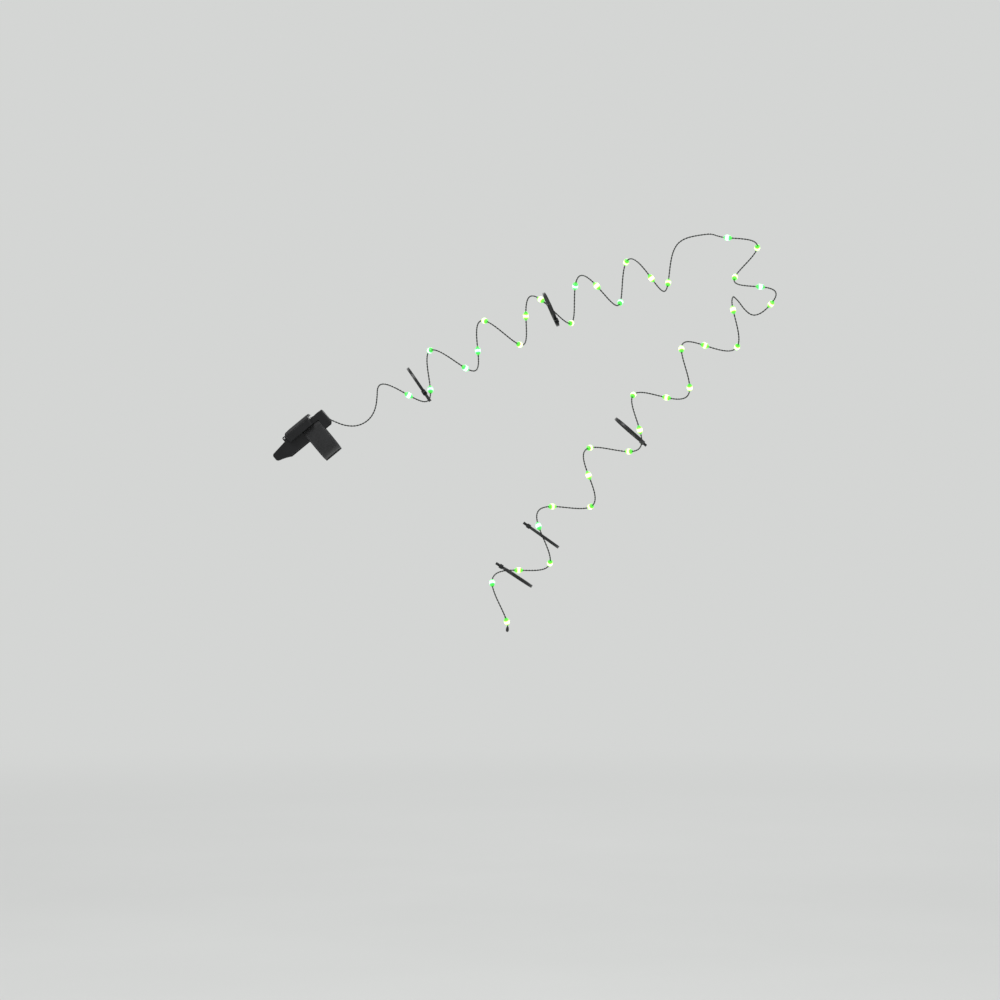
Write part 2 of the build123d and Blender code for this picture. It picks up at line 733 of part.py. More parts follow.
class Winding:
    """Turns of the string round one tube. Places are counted in lamps, angles from the front."""

    def __init__(self, start, end, bow, tube_r, first_angle, turn, first_place, step, drift):
        self.start = Vector(*start)
        self.span = Vector(*end) - self.start
        self.length = self.span.length
        self.along = self.span.normalized()
        self.across = FRONT.cross(self.along)
        self.bow = bow
        self.tube_r = tube_r
        self.radius = tube_r + LAMP_SEAT_GAP + LAMP_R + LAMP_SINK
        self.first_angle = first_angle
        self.turn = turn
        self.first_place = first_place
        self.step = step
        self.drift = drift

    def axis_point(self, lamp):
        """Point of the tube's axis level with this lamp count."""
        place = self.first_place + self.step * lamp + self.drift * lamp**2
        share = place / self.length
        return self.start + self.along * place + self.across * (4 * self.bow * share * (1 - share))

    def direction(self, lamp):
        """Direction of the tube's axis there."""
        return (self.axis_point(lamp + 0.01) - self.axis_point(lamp - 0.01)).normalized()

    def outward(self, lamp, angle=None):
        """Direction square to the axis, at the string or at a stated angle."""
        degrees_round = self.first_angle + self.turn * lamp if angle is None else angle
        sideways = FRONT.cross(self.direction(lamp))
        return FRONT * cos(radians(degrees_round)) + sideways * sin(radians(degrees_round))

    def point(self, lamp):
        """Point of the string's centre line."""
        return self.axis_point(lamp) + self.outward(lamp) * self.radius

    def tangent(self, lamp):
        """Direction of the string there."""
        return (self.point(lamp + 0.01) - self.point(lamp - 0.01)).normalized()


top_tube = Winding((99.2, 0, 59.3), (498.5, 0, 225.1), 24.6, 21.0, -16, -128.5, 1.45, 25.3, -0.145)
head_tube = Winding((488.8, 0, 273.5), (549.3, 0, 118.6), 0.0, 17.0, -31, 134, 27.0, 23.1, 0.0)
down_tube = Winding((498.5, 0, 144.0), (202.1, 0, -216.6), -17.1, 20.5, -31, 110.5, -6.2, 24.8, 0.145)

LAMPS = ((top_tube, 16), (head_tube, 5), (down_tube, 18))

# Places where the centre line's arcs meet
boot_end = PACK_HALF_WIDTH + 0.05 + GROMMET_COLLAR + GROMMET_BOOT
passes = [(pack_point(wire_exit_place, boot_end + WIRE_STRAIGHT, wire_exit_level), Vector(0, 1, 0))]
loop_point = Vector(LOOP_FORWARD, PACK_HALF_WIDTH + LOOP_SIDE, LOOP_LEVEL)
passes.append((loop_point, Vector(1, 0, -0.2).normalized()))
for winding, first, last in ((top_tube, -1.2, 15.7), (head_tube, -0.3, 4.2), (down_tube, -0.5, 17.2)):
    counts = [first] + [count for count in range(int(last) + 1)] + [last]
    passes.extend((winding.point(count), winding.tangent(count)) for count in counts)


def arc_joint(start, start_way, end, end_way):
    """Point where two arcs meet that leave and arrive in the given directions."""
    gap = end - start
    bend = 2 * (1 - start_way.dot(end_way))
    reach = gap.dot(start_way + end_way)
    arm = (sqrt(reach**2 + bend * gap.dot(gap)) - reach) / bend
    return (start + end + (start_way - end_way) * arm) / 2


# The whole string is one unbroken wire: straight out of the pack, then arcs, then straight
with BuildPart() as string_wire:
    connector_face = board_half_width - 2 + 0.05
    with BuildLine() as string_route:
        Line(pack_point(wire_exit_place, connector_face, wire_exit_level), passes[0][0])
        for (start, start_way), (end, end_way) in zip(passes, passes[1:]):
            meet = arc_joint(start, start_way, end, end_way)
            first_arc = TangentArc(start, meet, tangent=start_way)
            TangentArc(meet, end, tangent=first_arc % 1)
        last_point, last_way = passes[-1]
        Line(last_point, last_point + last_way * WIRE_END)
    with BuildSketch(Plane(origin=string_route.line @ 0, z_dir=string_route.line % 0)):
        RegularPolygon(WIRE_R, WIRE_SIDES)
    sweep(clean=False)
write(string_wire, "string_wire")


def report_route(route):
    """Print the bends, the length, the least gap to itself and the wire's volume."""
    arcs = [edge.radius for edge in route.edges() if edge.geom_type == GeomType.CIRCLE]
    print("string bends", len(arcs), "least radius", round(min(arcs), 2), "largest", round(max(arcs), 1))
    wire = route.wires()[0]
    count = int(wire.length / 1.5)
    points = [wire @ (number / count) for number in range(count + 1)]
    gap = min(
        (points[a] - points[b]).length for a in range(0, count) for b in range(a + 10, count + 1)
    )
    section = WIRE_SIDES / 2 * WIRE_R**2 * sin(2 * pi / WIRE_SIDES)
    print("string length", round(wire.length, 1), "least gap to itself", round(gap - 2 * WIRE_R, 2))
    share = string_wire.part.volume / (section * wire.length)
    print("string volume over section times length", round(share, 4))


report_route(string_route.line)


# Sealed end of the string
with BuildPart() as string_end_cap:
    cap_start = last_point + last_way * (WIRE_END - END_CAP_DEPTH + 0.6)
    with BuildSketch(Plane(cap_start, z_dir=last_way)):
        RegularPolygon(END_CAP_R, LAMP_SIDES)
    extrude(amount=END_CAP_LENGTH)
    chamfer(string_end_cap.faces().sort_by(Axis(cap_start, last_way))[-1].edges(), 0.5)
    with BuildSketch(Plane(cap_start, z_dir=last_way)):
        RegularPolygon(GROMMET_BORE_R, WIRE_SIDES)
    extrude(amount=END_CAP_DEPTH, mode=Mode.SUBTRACT)
write(string_end_cap, "string_end_cap")


# One lamp, a faceted lens that is moulded round the wire
with BuildPart() as lamp:
    with BuildSketch(Plane.XY.offset(-LAMP_LENGTH / 2)):
        RegularPolygon(LAMP_R, LAMP_SIDES)
    extrude(amount=LAMP_LENGTH)
    chamfer(lamp.edges().filter_by(GeomType.LINE).filter_by(Axis.Z, reverse=True), LAMP_CHAMFER)
    with BuildSketch(Plane.XY.offset(-LAMP_LENGTH / 2)):
        RegularPolygon(LAMP_BORE_R, WIRE_SIDES)
    extrude(amount=LAMP_LENGTH, mode=Mode.SUBTRACT)


# Lamps in turns of three along the whole string
lamp_places = [(winding, count) for winding, number in LAMPS for count in range(number)]
for turn_number in range(0, len(lamp_places), LAMP_COUNT_PER_TURN):
    planes = []
    for winding, count in lamp_places[turn_number : turn_number + LAMP_COUNT_PER_TURN]:
        radial = winding.outward(count)
        seat = winding.point(count) - radial * LAMP_SINK
        planes.append(Plane(seat, x_dir=radial, z_dir=winding.tangent(count)))
    with BuildPart() as lamps:
        with Locations(*planes):
            add(lamp.part)
    write(lamps, f"lamps_turn_{turn_number // LAMP_COUNT_PER_TURN + 1:02d}")


# Cable ties: a band with a hump over the string, a square head and a cut tail
TIES = {
    "cable_ties_top_tube": (top_tube, ((0.68, -38), (8.3, -42))),
    "cable_ties_down_tube": (down_tube, ((7.3, 110), (13.25, -90), (15.25, -90))),
}
for name, (winding, places) in TIES.items():
    with BuildPart() as cable_ties:
        for count, head_angle in places:
            centre = winding.axis_point(count)
            along = winding.direction(count)
            band = Plane(centre, x_dir=winding.outward(count), z_dir=along)
            hump = winding.radius + WIRE_R + TIE_WIRE_GAP - TIE_HUMP_R
            with BuildSketch(band.offset(-TIE_WIDTH / 2)):
                Circle(winding.tube_r + TIE_THICKNESS)
                with Locations((hump, 0)):
                    Circle(TIE_HUMP_R + TIE_THICKNESS)
                Circle(winding.tube_r, mode=Mode.SUBTRACT)
                with Locations((hump, 0)):
                    Circle(TIE_HUMP_R, mode=Mode.SUBTRACT)
            extrude(amount=TIE_WIDTH)
            head = Plane(centre, x_dir=winding.outward(count, head_angle), z_dir=along)
            with BuildSketch(head.offset(-TIE_HEAD / 2)):
                head_middle = winding.tube_r + TIE_THICKNESS / 2 + TIE_HEAD_HEIGHT / 2
                with Locations((head_middle, 0)):
                    Rectangle(TIE_HEAD_HEIGHT, TIE_HEAD)
            extrude(amount=TIE_HEAD)
            with BuildSketch(head.offset(-TIE_WIDTH / 2 + 0.2)):
                with Locations((head_middle + TIE_HEAD_HEIGHT / 2 + TIE_TAIL / 2 - 0.5, 0.7)):
                    Rectangle(TIE_TAIL + 1, TIE_THICKNESS)
            extrude(amount=TIE_WIDTH - 0.4)
    write(cable_ties, name)
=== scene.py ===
from bisect import bisect_left
from math import asin, cos, degrees, exp, pi, radians, sin, sqrt

import bpy
import bmesh
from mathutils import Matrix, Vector


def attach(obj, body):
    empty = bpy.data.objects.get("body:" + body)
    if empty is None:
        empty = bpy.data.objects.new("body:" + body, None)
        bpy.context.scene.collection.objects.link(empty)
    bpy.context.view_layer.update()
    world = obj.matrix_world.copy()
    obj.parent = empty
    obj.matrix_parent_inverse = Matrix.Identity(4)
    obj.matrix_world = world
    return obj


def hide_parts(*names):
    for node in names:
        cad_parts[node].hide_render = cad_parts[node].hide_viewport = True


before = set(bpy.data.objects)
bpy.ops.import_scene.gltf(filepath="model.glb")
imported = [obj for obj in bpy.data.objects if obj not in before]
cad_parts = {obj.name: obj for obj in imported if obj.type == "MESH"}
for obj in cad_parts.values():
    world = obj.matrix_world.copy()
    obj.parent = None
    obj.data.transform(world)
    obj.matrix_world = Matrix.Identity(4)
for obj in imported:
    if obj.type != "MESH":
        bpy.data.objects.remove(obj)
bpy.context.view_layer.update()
bpy.context.scene.view_settings.view_transform = "Standard"

# Metres, in the frame of the solids: +Z up, +X to the front, and -Y to the side that is
# looked at. Sizes below are written in millimetres and scaled by MM.
MM = 0.001
ROOT = "pack_and_string"
FRONT = Vector((0, -1, 0))
ACROSS = Vector((0, 1, 0))

# Camera, square to the side that is looked at
CAMERA_DISTANCE = 4.0
PICTURE_SIDE = 1000
PIXEL = 0.00121
SENSOR_WIDTH = 36
VIEW_END = 60
VIEW_MIDDLE = Vector((0.2142, 0, -0.0714))

camera_data = bpy.data.cameras.new("camera")
camera_data.sensor_width = SENSOR_WIDTH
camera_data.lens = SENSOR_WIDTH * CAMERA_DISTANCE / (PICTURE_SIDE * PIXEL)
camera_data.clip_end = VIEW_END
camera = bpy.data.objects.new("camera", camera_data)
camera.location = VIEW_MIDDLE + FRONT * CAMERA_DISTANCE
camera.rotation_euler = (radians(90), 0, 0)
bpy.context.scene.collection.objects.link(camera)
bpy.context.scene.camera = camera

# Directions of the pack: along the tube that carries it, and square to the tube
RISE = radians(39.5)
TUBEWARD = Vector((cos(RISE), 0, sin(RISE)))
UPWARD = Vector((-sin(RISE), 0, cos(RISE)))


def pack_point(along, across, level):
    """A point of the pack's frame, in millimetres, as a point of the scene."""
    return (TUBEWARD * along + ACROSS * across + UPWARD * level) * MM


def extent(name):
    """Lowest and highest corner of a node in the pack's frame, in millimetres."""
    corners = [
        (TUBEWARD.dot(vertex.co) / MM, vertex.co.y / MM, UPWARD.dot(vertex.co) / MM)
        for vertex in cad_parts[name].data.vertices
    ]
    return Vector(map(min, zip(*corners))), Vector(map(max, zip(*corners)))


# The string's route
LAMP_R = 3.2
LAMP_LENGTH = 11.0
STRING_STAND = LAMP_R + 0.48


class Winding:
    """Turns of the string round one tube. Places are counted in lamps, angles from the front."""

    def __init__(self, start, end, bow, tube_r, first_angle, turn, first_place, step, drift):
        self.start = Vector(start)
        self.span = Vector(end) - self.start
        self.length = self.span.length
        self.along = self.span.normalized()
        self.across = FRONT.cross(self.along)
        self.bow = bow
        self.tube_r = tube_r
        self.radius = tube_r + STRING_STAND
        self.first_angle = first_angle
        self.turn = turn
        self.first_place = first_place
        self.step = step
        self.drift = drift

    def axis_point(self, lamp):
        """Point of the tube's axis level with this lamp count, in millimetres."""
        place = self.first_place + self.step * lamp + self.drift * lamp**2
        share = place / self.length
        return self.start + self.along * place + self.across * (4 * self.bow * share * (1 - share))

    def direction(self, lamp):
        """Direction of the tube's axis there."""
        return (self.axis_point(lamp + 0.01) - self.axis_point(lamp - 0.01)).normalized()

    def outward(self, lamp, angle=None):
        """Direction square to the axis, at the string or at a stated angle."""
        turned = radians(self.first_angle + self.turn * lamp if angle is None else angle)
        return FRONT * cos(turned) + FRONT.cross(self.direction(lamp)) * sin(turned)

    def point(self, lamp, radius=None):
        """Point of the string's centre line, or at another radius, in millimetres."""
        return self.axis_point(lamp) + self.outward(lamp) * (radius or self.radius)


top_tube = Winding((99.2, 0, 59.3), (498.5, 0, 225.1), 24.6, 21.0, -16, -128.5, 1.45, 25.3, -0.145)
head_tube = Winding((488.8, 0, 273.5), (549.3, 0, 118.6), 0.0, 17.0, -31, 134, 27.0, 23.1, 0.0)
down_tube = Winding((498.5, 0, 144.0), (202.1, 0, -216.6), -17.1, 20.5, -31, 110.5, -6.2, 24.8, 0.145)

LAMPS = ((top_tube, 16), (head_tube, 5), (down_tube, 18))
POINTS_PER_LAMP = 5
WIRE_R = 0.9


def turns(winding, first, last):
    """Control points of the turns on one tube, a little outside the line that they draw."""
    count = round((last - first) * POINTS_PER_LAMP)
    half_step = radians(abs(winding.turn) / POINTS_PER_LAMP) / 2
    return [
        winding.point(first + number / POINTS_PER_LAMP, winding.radius / cos(half_step))
        for number in range(count + 1)
    ]


def loose(*places):
    """Control points of a stretch that lies on no tube."""
    return [Vector(place) for place in places]


# straight out of the pack's far side, forward in a loop, then from tube to tube
EXIT_ALONG, EXIT_LEVEL = 17.7, 26.1
BOOT_END = 29.15
route = [pack_point(EXIT_ALONG, across, EXIT_LEVEL) / MM for across in (9.05, 18, 28)]
route += loose((-1.8, 36, 30.9), (3.5, 41.5, 28.4), (12, 42, 24.5), (23, 42, 20))
route += loose((36, 42, 18.5), (48, 39.5, 22), (57.5, 34.5, 30), (63, 27, 41.5))
route += turns(top_tube, -1.2, 15.8)
route += loose((430, 3, 240), (438, -1, 245), (449, 1, 248), (460, 5, 250), (470, 3, 251))
route += turns(head_tube, -0.3, 4.1)
route += loose((531, 24, 155), (521, 26, 153), (512, 24, 160), (505, 19, 169), (499, 9, 174))
route += turns(down_tube, -0.5, 17.1)
route += [down_tube.point(17.2)] + loose((223, -3.6, -228.9))

curve = bpy.data.curves.new("string_route", "CURVE")
curve.dimensions = "3D"
curve.resolution_u = 14
spline = curve.splines.new("NURBS")
spline.points.add(len(route) - 1)
for spot, place in zip(spline.points, route):
    spot.co = (*(place * MM), 1)
spline.order_u = 3
spline.use_endpoint_u = True
route_object = bpy.data.objects.new("string_route", curve)
bpy.context.scene.collection.objects.link(route_object)
bare = bpy.data.meshes.new_from_object(route_object)
LINE = [corner.co.copy() for corner in bare.vertices]
bpy.data.meshes.remove(bare)
bpy.data.objects.remove(route_object)

REACH = [0.0]
for one, other in zip(LINE, LINE[1:]):
    REACH.append(REACH[-1] + (other - one).length)


def at_reach(reach):
    """Point of the line that lies this far along it, and the line's direction there."""
    number = min(max(bisect_left(REACH, reach), 2), len(LINE) - 2)
    share = (reach - REACH[number - 1]) / (REACH[number] - REACH[number - 1])
    way = (LINE[number + 1] - LINE[number - 2]).normalized()
    return LINE[number - 1].lerp(LINE[number], share), way


def nearest(place):
    """How far along the line its nearest point to a place lies."""
    number = min(range(len(LINE)), key=lambda index: (LINE[index] - place).length_squared)
    return REACH[number]


# Mesh helpers
def new_object(name, vertices, faces, material, smooth=True):
    """A mesh object from lists of points and faces, with its normals outward."""
    mesh = bpy.data.meshes.new(name)
    mesh.from_pydata([tuple(vertex) for vertex in vertices], [], faces)
    mesh.materials.append(material)
    work = bmesh.new()
    work.from_mesh(mesh)
    bmesh.ops.recalc_face_normals(work, faces=work.faces)
    work.to_mesh(mesh)
    work.free()
    for face in mesh.polygons:
        face.use_smooth = smooth
    made = bpy.data.objects.new(name, mesh)
    bpy.context.scene.collection.objects.link(made)
    return made


def ring_faces(rings, sides, first=0, closed=False):
    """Faces that join rings of points, with the two ends closed or the last ring joined to the first."""
    faces = []
    for ring in range(rings if closed else rings - 1):
        for side in range(sides):
            after = (side + 1) % sides
            here = first + ring * sides
            there = first + ((ring + 1) % rings) * sides
            faces.append((here + side, here + after, there + after, there + side))
    if not closed:
        faces.append(tuple(first + side for side in reversed(range(sides))))
        faces.append(tuple(first + (rings - 1) * sides + side for side in range(sides)))
    return faces


class Shape:
    """Points and faces of one object, gathered from several closed forms."""

    def __init__(self):
        self.vertices = []
        self.faces = []

    def rings(self, rings, closed=False):
        """Add a form from its rings of points, in metres."""
        self.faces += ring_faces(len(rings), len(rings[0]), len(self.vertices), closed)
        for ring in rings:
            self.vertices += ring

    def turned(self, place, way, profile, sides, closed=False):
        """Add a turned form: profile is (distance along, radius) in millimetres."""
        across = way.orthogonal()
        spots = [(place + way * along * MM, radius) for along, radius in profile]
        self.rings([ring_at(spot, way, radius, sides, across) for spot, radius in spots], closed)

    def made(self, name, paint, smooth=True):
        """The object of all forms added so far."""
        return new_object(name, self.vertices, self.faces, paint.material, smooth)


def ring_at(place, way, radius, sides, across):
    """A circle of points round a place, square to a direction."""
    across = (across - way * way.dot(across)).normalized()
    up = way.cross(across)
    return [
        place + (across * cos(2 * pi * side / sides) + up * sin(2 * pi * side / sides)) * radius * MM
        for side in range(sides)
    ]


def rounded(half_x, half_y, corner, middle=0.0, steps=5):
    """A rectangle's outline with round corners; middle shifts it along x."""
    points = []
    for number, (side_x, side_y) in enumerate(((1, 1), (-1, 1), (-1, -1), (1, -1))):
        for step in range(steps):
            angle = radians(90 * (number + step / (steps - 1)))
            x = middle + side_x * (half_x - corner) + corner * cos(angle)
            points.append((x, side_y * (half_y - corner) + corner * sin(angle)))
    return points


def evenly(line, step, closed=False):
    """A line again with points a step apart."""
    line = line + line[:1] if closed else line
    run = [0.0]
    for one, other in zip(line, line[1:]):
        run.append(run[-1] + (other - one).length)
    count = max(2, round(run[-1] / step))
    spots = []
    for number in range(count if closed else count + 1):
        place = run[-1] * number / count
        after = min(max(bisect_left(run, place), 1), len(line) - 1)
        share = (place - run[after - 1]) / (run[after] - run[after - 1])
        spots.append(line[after - 1].lerp(line[after], share))
    return spots


def set_values(made, name, kind, field, values):
    """Store a value for each point of an object, for its material."""
    made.data.attributes.new(name, kind, "POINT").data.foreach_set(field, values)


def dress(made, body, slot_name, *nodes):
    """A finished piece rides on its body and stands for its nodes; slot_name is not used."""
    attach(made, body)
    if nodes:
        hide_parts(*nodes)
    return made


# Materials
class Paint:
    """A node-based material, with short ways to add nodes."""

    def __init__(self, name, colour, roughness, metallic=0.0, specular=0.5):
        self.material = bpy.data.materials.new(name + "_look")
        self.material.use_nodes = True
        self.tree = self.material.node_tree
        self.shader = self.tree.nodes["Principled BSDF"]
        self.set("Base Color", (*colour, 1))
        self.set("Roughness", roughness)
        self.set("Metallic", metallic)
        self.set("Specular IOR Level", specular)
        self.place = self.node("TexCoord").outputs["Object"]

    def feed(self, socket, value):
        """Link a socket to an output, or set it to a plain value."""
        if isinstance(value, bpy.types.NodeSocket):
            self.tree.links.new(value, socket)
        else:
            socket.default_value = value

    def set(self, name, value):
        """Give the shader a value or an output."""
        self.feed(self.shader.inputs[name], value)

    def node(self, kind, **inputs):
        """A new node. A name in lower case is a setting, any other is an input."""
        made = self.tree.nodes.new("ShaderNode" + kind)
        for key, value in inputs.items():
            if key.islower():
                setattr(made, key, value)
            else:
                self.feed(made.inputs[key.replace("_", " ")], value)
        return made

    def maths(self, operation, *values):
        """A number worked out from one or two others."""
        made = self.node("Math", operation=operation)
        for socket, value in zip(made.inputs, values):
            self.feed(socket, value)
        return made.outputs["Value"]

    def noise(self, scale, detail=2.0, roughness=0.5, vector=None):
        """Noise over the object, or over another vector."""
        where = vector or self.place
        made = self.node("TexNoise", Scale=scale, Detail=detail, Roughness=roughness, Vector=where)
        return made.outputs["Fac"]

    def stored(self, name):
        """A value that the object keeps for each of its points."""
        return self.node("Attribute", attribute_name=name).outputs

    def spread(self, value, low, high, start=0.35, end=0.65):
        """A value between two numbers laid out between two others."""
        made = self.node("MapRange", Value=value, From_Min=start, From_Max=end, To_Min=low, To_Max=high)
        return made.outputs["Result"]

    def ramp(self, value, *stops):
        """A colour for each value: stops are (place, colour)."""
        made = self.node("ValToRGB", Fac=value)
        band = made.color_ramp
        for place, colour in stops[1:-1]:
            band.elements.new(place).color = (*colour, 1)
        band.elements[0].position, band.elements[-1].position = stops[0][0], stops[-1][0]
        band.elements[0].color, band.elements[-1].color = (*stops[0][1], 1), (*stops[-1][1], 1)
        return made.outputs["Color"]

    def blend(self, share, first, second):
        """Two colours mixed by a share."""
        made = self.node("Mix", data_type="RGBA")
        sockets = (made.inputs["Factor"], made.inputs[6], made.inputs[7])
        for socket, value in zip(sockets, (share, first, second)):
            self.feed(socket, value)
        return made.outputs[2]

    def bump(self, height, distance, strength=1.0, rounding=0.0):
        """Relief from a height, over edges rounded by that radius in millimetres."""
        made = self.node("Bump", Height=height, Distance=distance * MM, Strength=strength)
        if rounding:
            soft = self.node("Bevel", samples=6, Radius=rounding * MM)
            self.feed(made.inputs["Normal"], soft.outputs["Normal"])
        self.set("Normal", made.outputs["Normal"])

    def edges(self, radius):
        """1 along edges and 0 elsewhere."""
        soft = self.node("Bevel", samples=6, Radius=radius * MM)
        flat = self.node("NewGeometry")
        turned = self.node("VectorMath", operation="DOT_PRODUCT")
        self.feed(turned.inputs[0], soft.outputs["Normal"])
        self.feed(turned.inputs[1], flat.outputs["Normal"])
        return self.spread(turned.outputs["Value"], 1, 0, 0.86, 0.995)


def moulded(name, dark, light, roughness, grain, depth, rounding=0.35, edge=None, specular=0.4):
    """Moulded plastic or rubber: spark texture, slow changes of tone, scuffs and rounded edges."""
    paint = Paint(name, dark, roughness, specular=specular)
    tone = paint.ramp(paint.noise(90, 3), (0.3, dark), (0.75, light))
    if edge:
        worn = paint.spread(paint.noise(150, 4), 0.25, 1.0)
        patchy = paint.maths("MULTIPLY", paint.edges(rounding), worn)
        tone = paint.blend(patchy, tone, (*edge, 1))
    paint.set("Base Color", tone)
    paint.set("Roughness", paint.spread(paint.noise(700, 3), roughness - 0.04, roughness + 0.06))
    paint.bump(paint.noise(grain, 2, 0.6), depth, 1.0, rounding)
    return paint


def metal(name, dark, light, roughness, streak):
    """Bare or plated metal with fine drawn lines along one direction."""
    paint = Paint(name, dark, roughness, metallic=1.0)
    stretched = paint.node("Mapping", Vector=paint.place, Scale=streak)
    lines = paint.noise(900, 3, 0.6, stretched.outputs["Vector"])
    paint.set("Base Color", paint.ramp(lines, (0.3, dark), (0.7, light)))
    paint.set("Roughness", paint.spread(paint.noise(500, 3), roughness - 0.08, roughness + 0.1))
    paint.bump(lines, 0.01, 0.6, 0.12)
    return paint


def board_material():
    """Green solder mask with copper runs under it."""
    paint = Paint("board", (0.01, 0.09, 0.03), 0.3)
    runs = paint.node(
        "TexBrick",
        Vector=paint.place,
        Scale=220.0,
        Color1=(0.008, 0.075, 0.026, 1),
        Color2=(0.012, 0.105, 0.036, 1),
        Mortar=(0.02, 0.17, 0.06, 1),
        Mortar_Size=0.08,
    )
    paint.set("Base Color", runs.outputs["Color"])
    paint.set("Roughness", paint.spread(paint.noise(600, 3), 0.22, 0.38))
    paint.bump(runs.outputs["Fac"], 0.03, 0.6)
    return paint


def cell_material():
    """A cell's printed film in plain bands, with bare steel at its two ends."""
    paint = Paint("cell_wrap", (0.3, 0.32, 0.34), 0.35)
    place = paint.stored("cell_place")["Fac"]
    dark, band, accent, steel = (0.02, 0.021, 0.024), (0.5, 0.5, 0.48), (0.02, 0.16, 0.07), (0.7, 0.7, 0.69)
    stops = ((0.0, steel), (0.03, steel), (0.034, dark), (0.66, dark), (0.665, band), (0.69, band))
    stops += ((0.695, accent), (0.952, accent), (0.956, steel), (1.0, steel))
    paint.set("Base Color", paint.ramp(place, *stops))
    low_end = paint.spread(place, 1, 0, 0.031, 0.033)
    high_end = paint.spread(place, 0, 1, 0.953, 0.955)
    paint.set("Metallic", paint.maths("MAXIMUM", low_end, high_end))
    paint.set("Roughness", paint.spread(paint.noise(300, 3), 0.24, 0.4))
    paint.bump(paint.noise(700, 3), 0.02, 0.5)
    return paint


def lamp_material(name, tips, glow, core):
    """A lit lens: green at its tips, white hot where the chip shines through the middle."""
    paint = Paint(name, (0.1, 0.7, 0.05), 0.2, specular=0.6)
    paint.set("Coat Weight", 0.5)
    paint.set("Coat Roughness", 0.08)
    cloudy = paint.spread(paint.noise(900, 2), 0.88, 1.1)
    heat = paint.maths("MULTIPLY", paint.stored("core_heat")["Fac"], cloudy)
    paint.set("Emission Strength", paint.spread(paint.maths("POWER", heat, 1.6), 0.7, 8.0, 0.0, 1.0))
    paint.set("Emission Color", paint.ramp(heat, (0.0, tips), (0.3, glow), (0.85, core)))
    plastic = ((0.3, (0.05, 0.5, 0.03)), (0.7, (0.1, 0.62, 0.06)))
    paint.set("Base Color", paint.ramp(paint.noise(160, 2), *plastic))
    paint.bump(paint.noise(1200, 2), 0.02, 0.5)
    return paint


WARP_WIDTH, WARP_LENGTH = 0.75, 2.2


def webbing_material():
    """Black nylon webbing in a plain weave, fuzzy at the edges of its threads, with painted shade where the
    threads sink.
    """
    paint = Paint("strap_webbing", (0.014, 0.0145, 0.016), 0.62, specular=0.35)
    paint.set("Sheen Weight", 0.25)
    paint.set("Sheen Roughness", 0.5)
    cloth = paint.node("SeparateXYZ")
    paint.feed(cloth.inputs[0], paint.stored("cloth_place")["Vector"])
    row = paint.maths("DIVIDE", cloth.outputs["Y"], WARP_WIDTH)
    turned = paint.maths("MULTIPLY", paint.maths("FLOOR", row), 0.5)
    step = paint.maths("ADD", paint.maths("DIVIDE", cloth.outputs["X"], WARP_LENGTH), turned)
    round_warp = paint.maths("SINE", paint.maths("MULTIPLY", paint.maths("FRACT", row), pi))
    wave = paint.maths("COSINE", paint.maths("MULTIPLY", step, 2 * pi))
    over = paint.maths("ADD", paint.maths("MULTIPLY", wave, 0.3), 0.7)
    weave = paint.maths("MULTIPLY", paint.maths("POWER", round_warp, 0.6), over)
    threads = paint.noise(3200, 2)
    height = paint.maths("ADD", weave, paint.maths("MULTIPLY", threads, 0.25))
    # the colour is darker where the weave sinks: painted shade between the threads, varied at random in
    # patches
    worn = paint.maths("MULTIPLY", height, paint.spread(paint.noise(60, 4), 0.7, 1.15))
    threads_in_painted_shade, threads_high = (0.004, 0.004, 0.0045), (0.02, 0.0205, 0.0225)
    paint.set("Base Color", paint.ramp(worn, (0.1, threads_in_painted_shade), (1.1, threads_high)))
    paint.set("Roughness", paint.spread(paint.noise(400, 4), 0.55, 0.74))
    paint.bump(height, 0.12, 0.9)
    return paint


BLACK, SOOT = (0.004, 0.0042, 0.005), (0.008, 0.0083, 0.0095)
SCUFF, NYLON_EDGE = (0.03, 0.03, 0.033), (0.04, 0.041, 0.043)
case_paint = moulded("case_plastic", BLACK, SOOT, 0.4, 2600, 0.035, 0.55, SCUFF, 0.3)
door_paint = moulded("door_plastic", BLACK, SOOT, 0.34, 2600, 0.03, 0.55, SCUFF, 0.35)
cover_paint = moulded("cover_plastic", BLACK, SOOT, 0.3, 3000, 0.02, 0.5, SCUFF, 0.35)
pad_paint = moulded("pad_rubber", (0.007, 0.007, 0.008), (0.013, 0.013, 0.014), 0.78, 1500, 0.05, 0.0)
seal_paint = moulded("seal_rubber", (0.03, 0.03, 0.032), (0.05, 0.05, 0.052), 0.7, 1800, 0.03, 0.2)
grommet_paint = moulded("grommet_rubber", (0.009, 0.009, 0.01), (0.017, 0.017, 0.018), 0.6, 2200, 0.03, 0.0)
button_paint = moulded("button_rubber", (0.03, 0.031, 0.033), (0.045, 0.046, 0.048), 0.58, 2400, 0.04, 0.0)
connector_paint = moulded("connector_plastic", (0.62, 0.6, 0.52), (0.72, 0.7, 0.62), 0.4, 1800, 0.02, 0.2)
plunger_paint = moulded("plunger_plastic", (0.02, 0.02, 0.02), (0.04, 0.04, 0.04), 0.4, 2200, 0.02, 0.15)
chip_paint = moulded("chip", (0.012, 0.012, 0.013), (0.02, 0.02, 0.021), 0.55, 3000, 0.02, 0.15)
resistor_paint = moulded("resistor", (0.02, 0.02, 0.022), (0.05, 0.05, 0.055), 0.4, 2500, 0.01, 0.1)
tie_paint = moulded(
    "tie_nylon", (0.009, 0.0095, 0.01), (0.016, 0.017, 0.018), 0.3, 1400, 0.02, 0.15, NYLON_EDGE
)
wire_paint = moulded("wire_sheath", (0.01, 0.013, 0.011), (0.018, 0.023, 0.019), 0.3, 1500, 0.015, 0.0)
cap_paint = moulded("end_cap_plastic", (0.01, 0.012, 0.011), (0.02, 0.023, 0.021), 0.33, 1800, 0.02, 0.0)
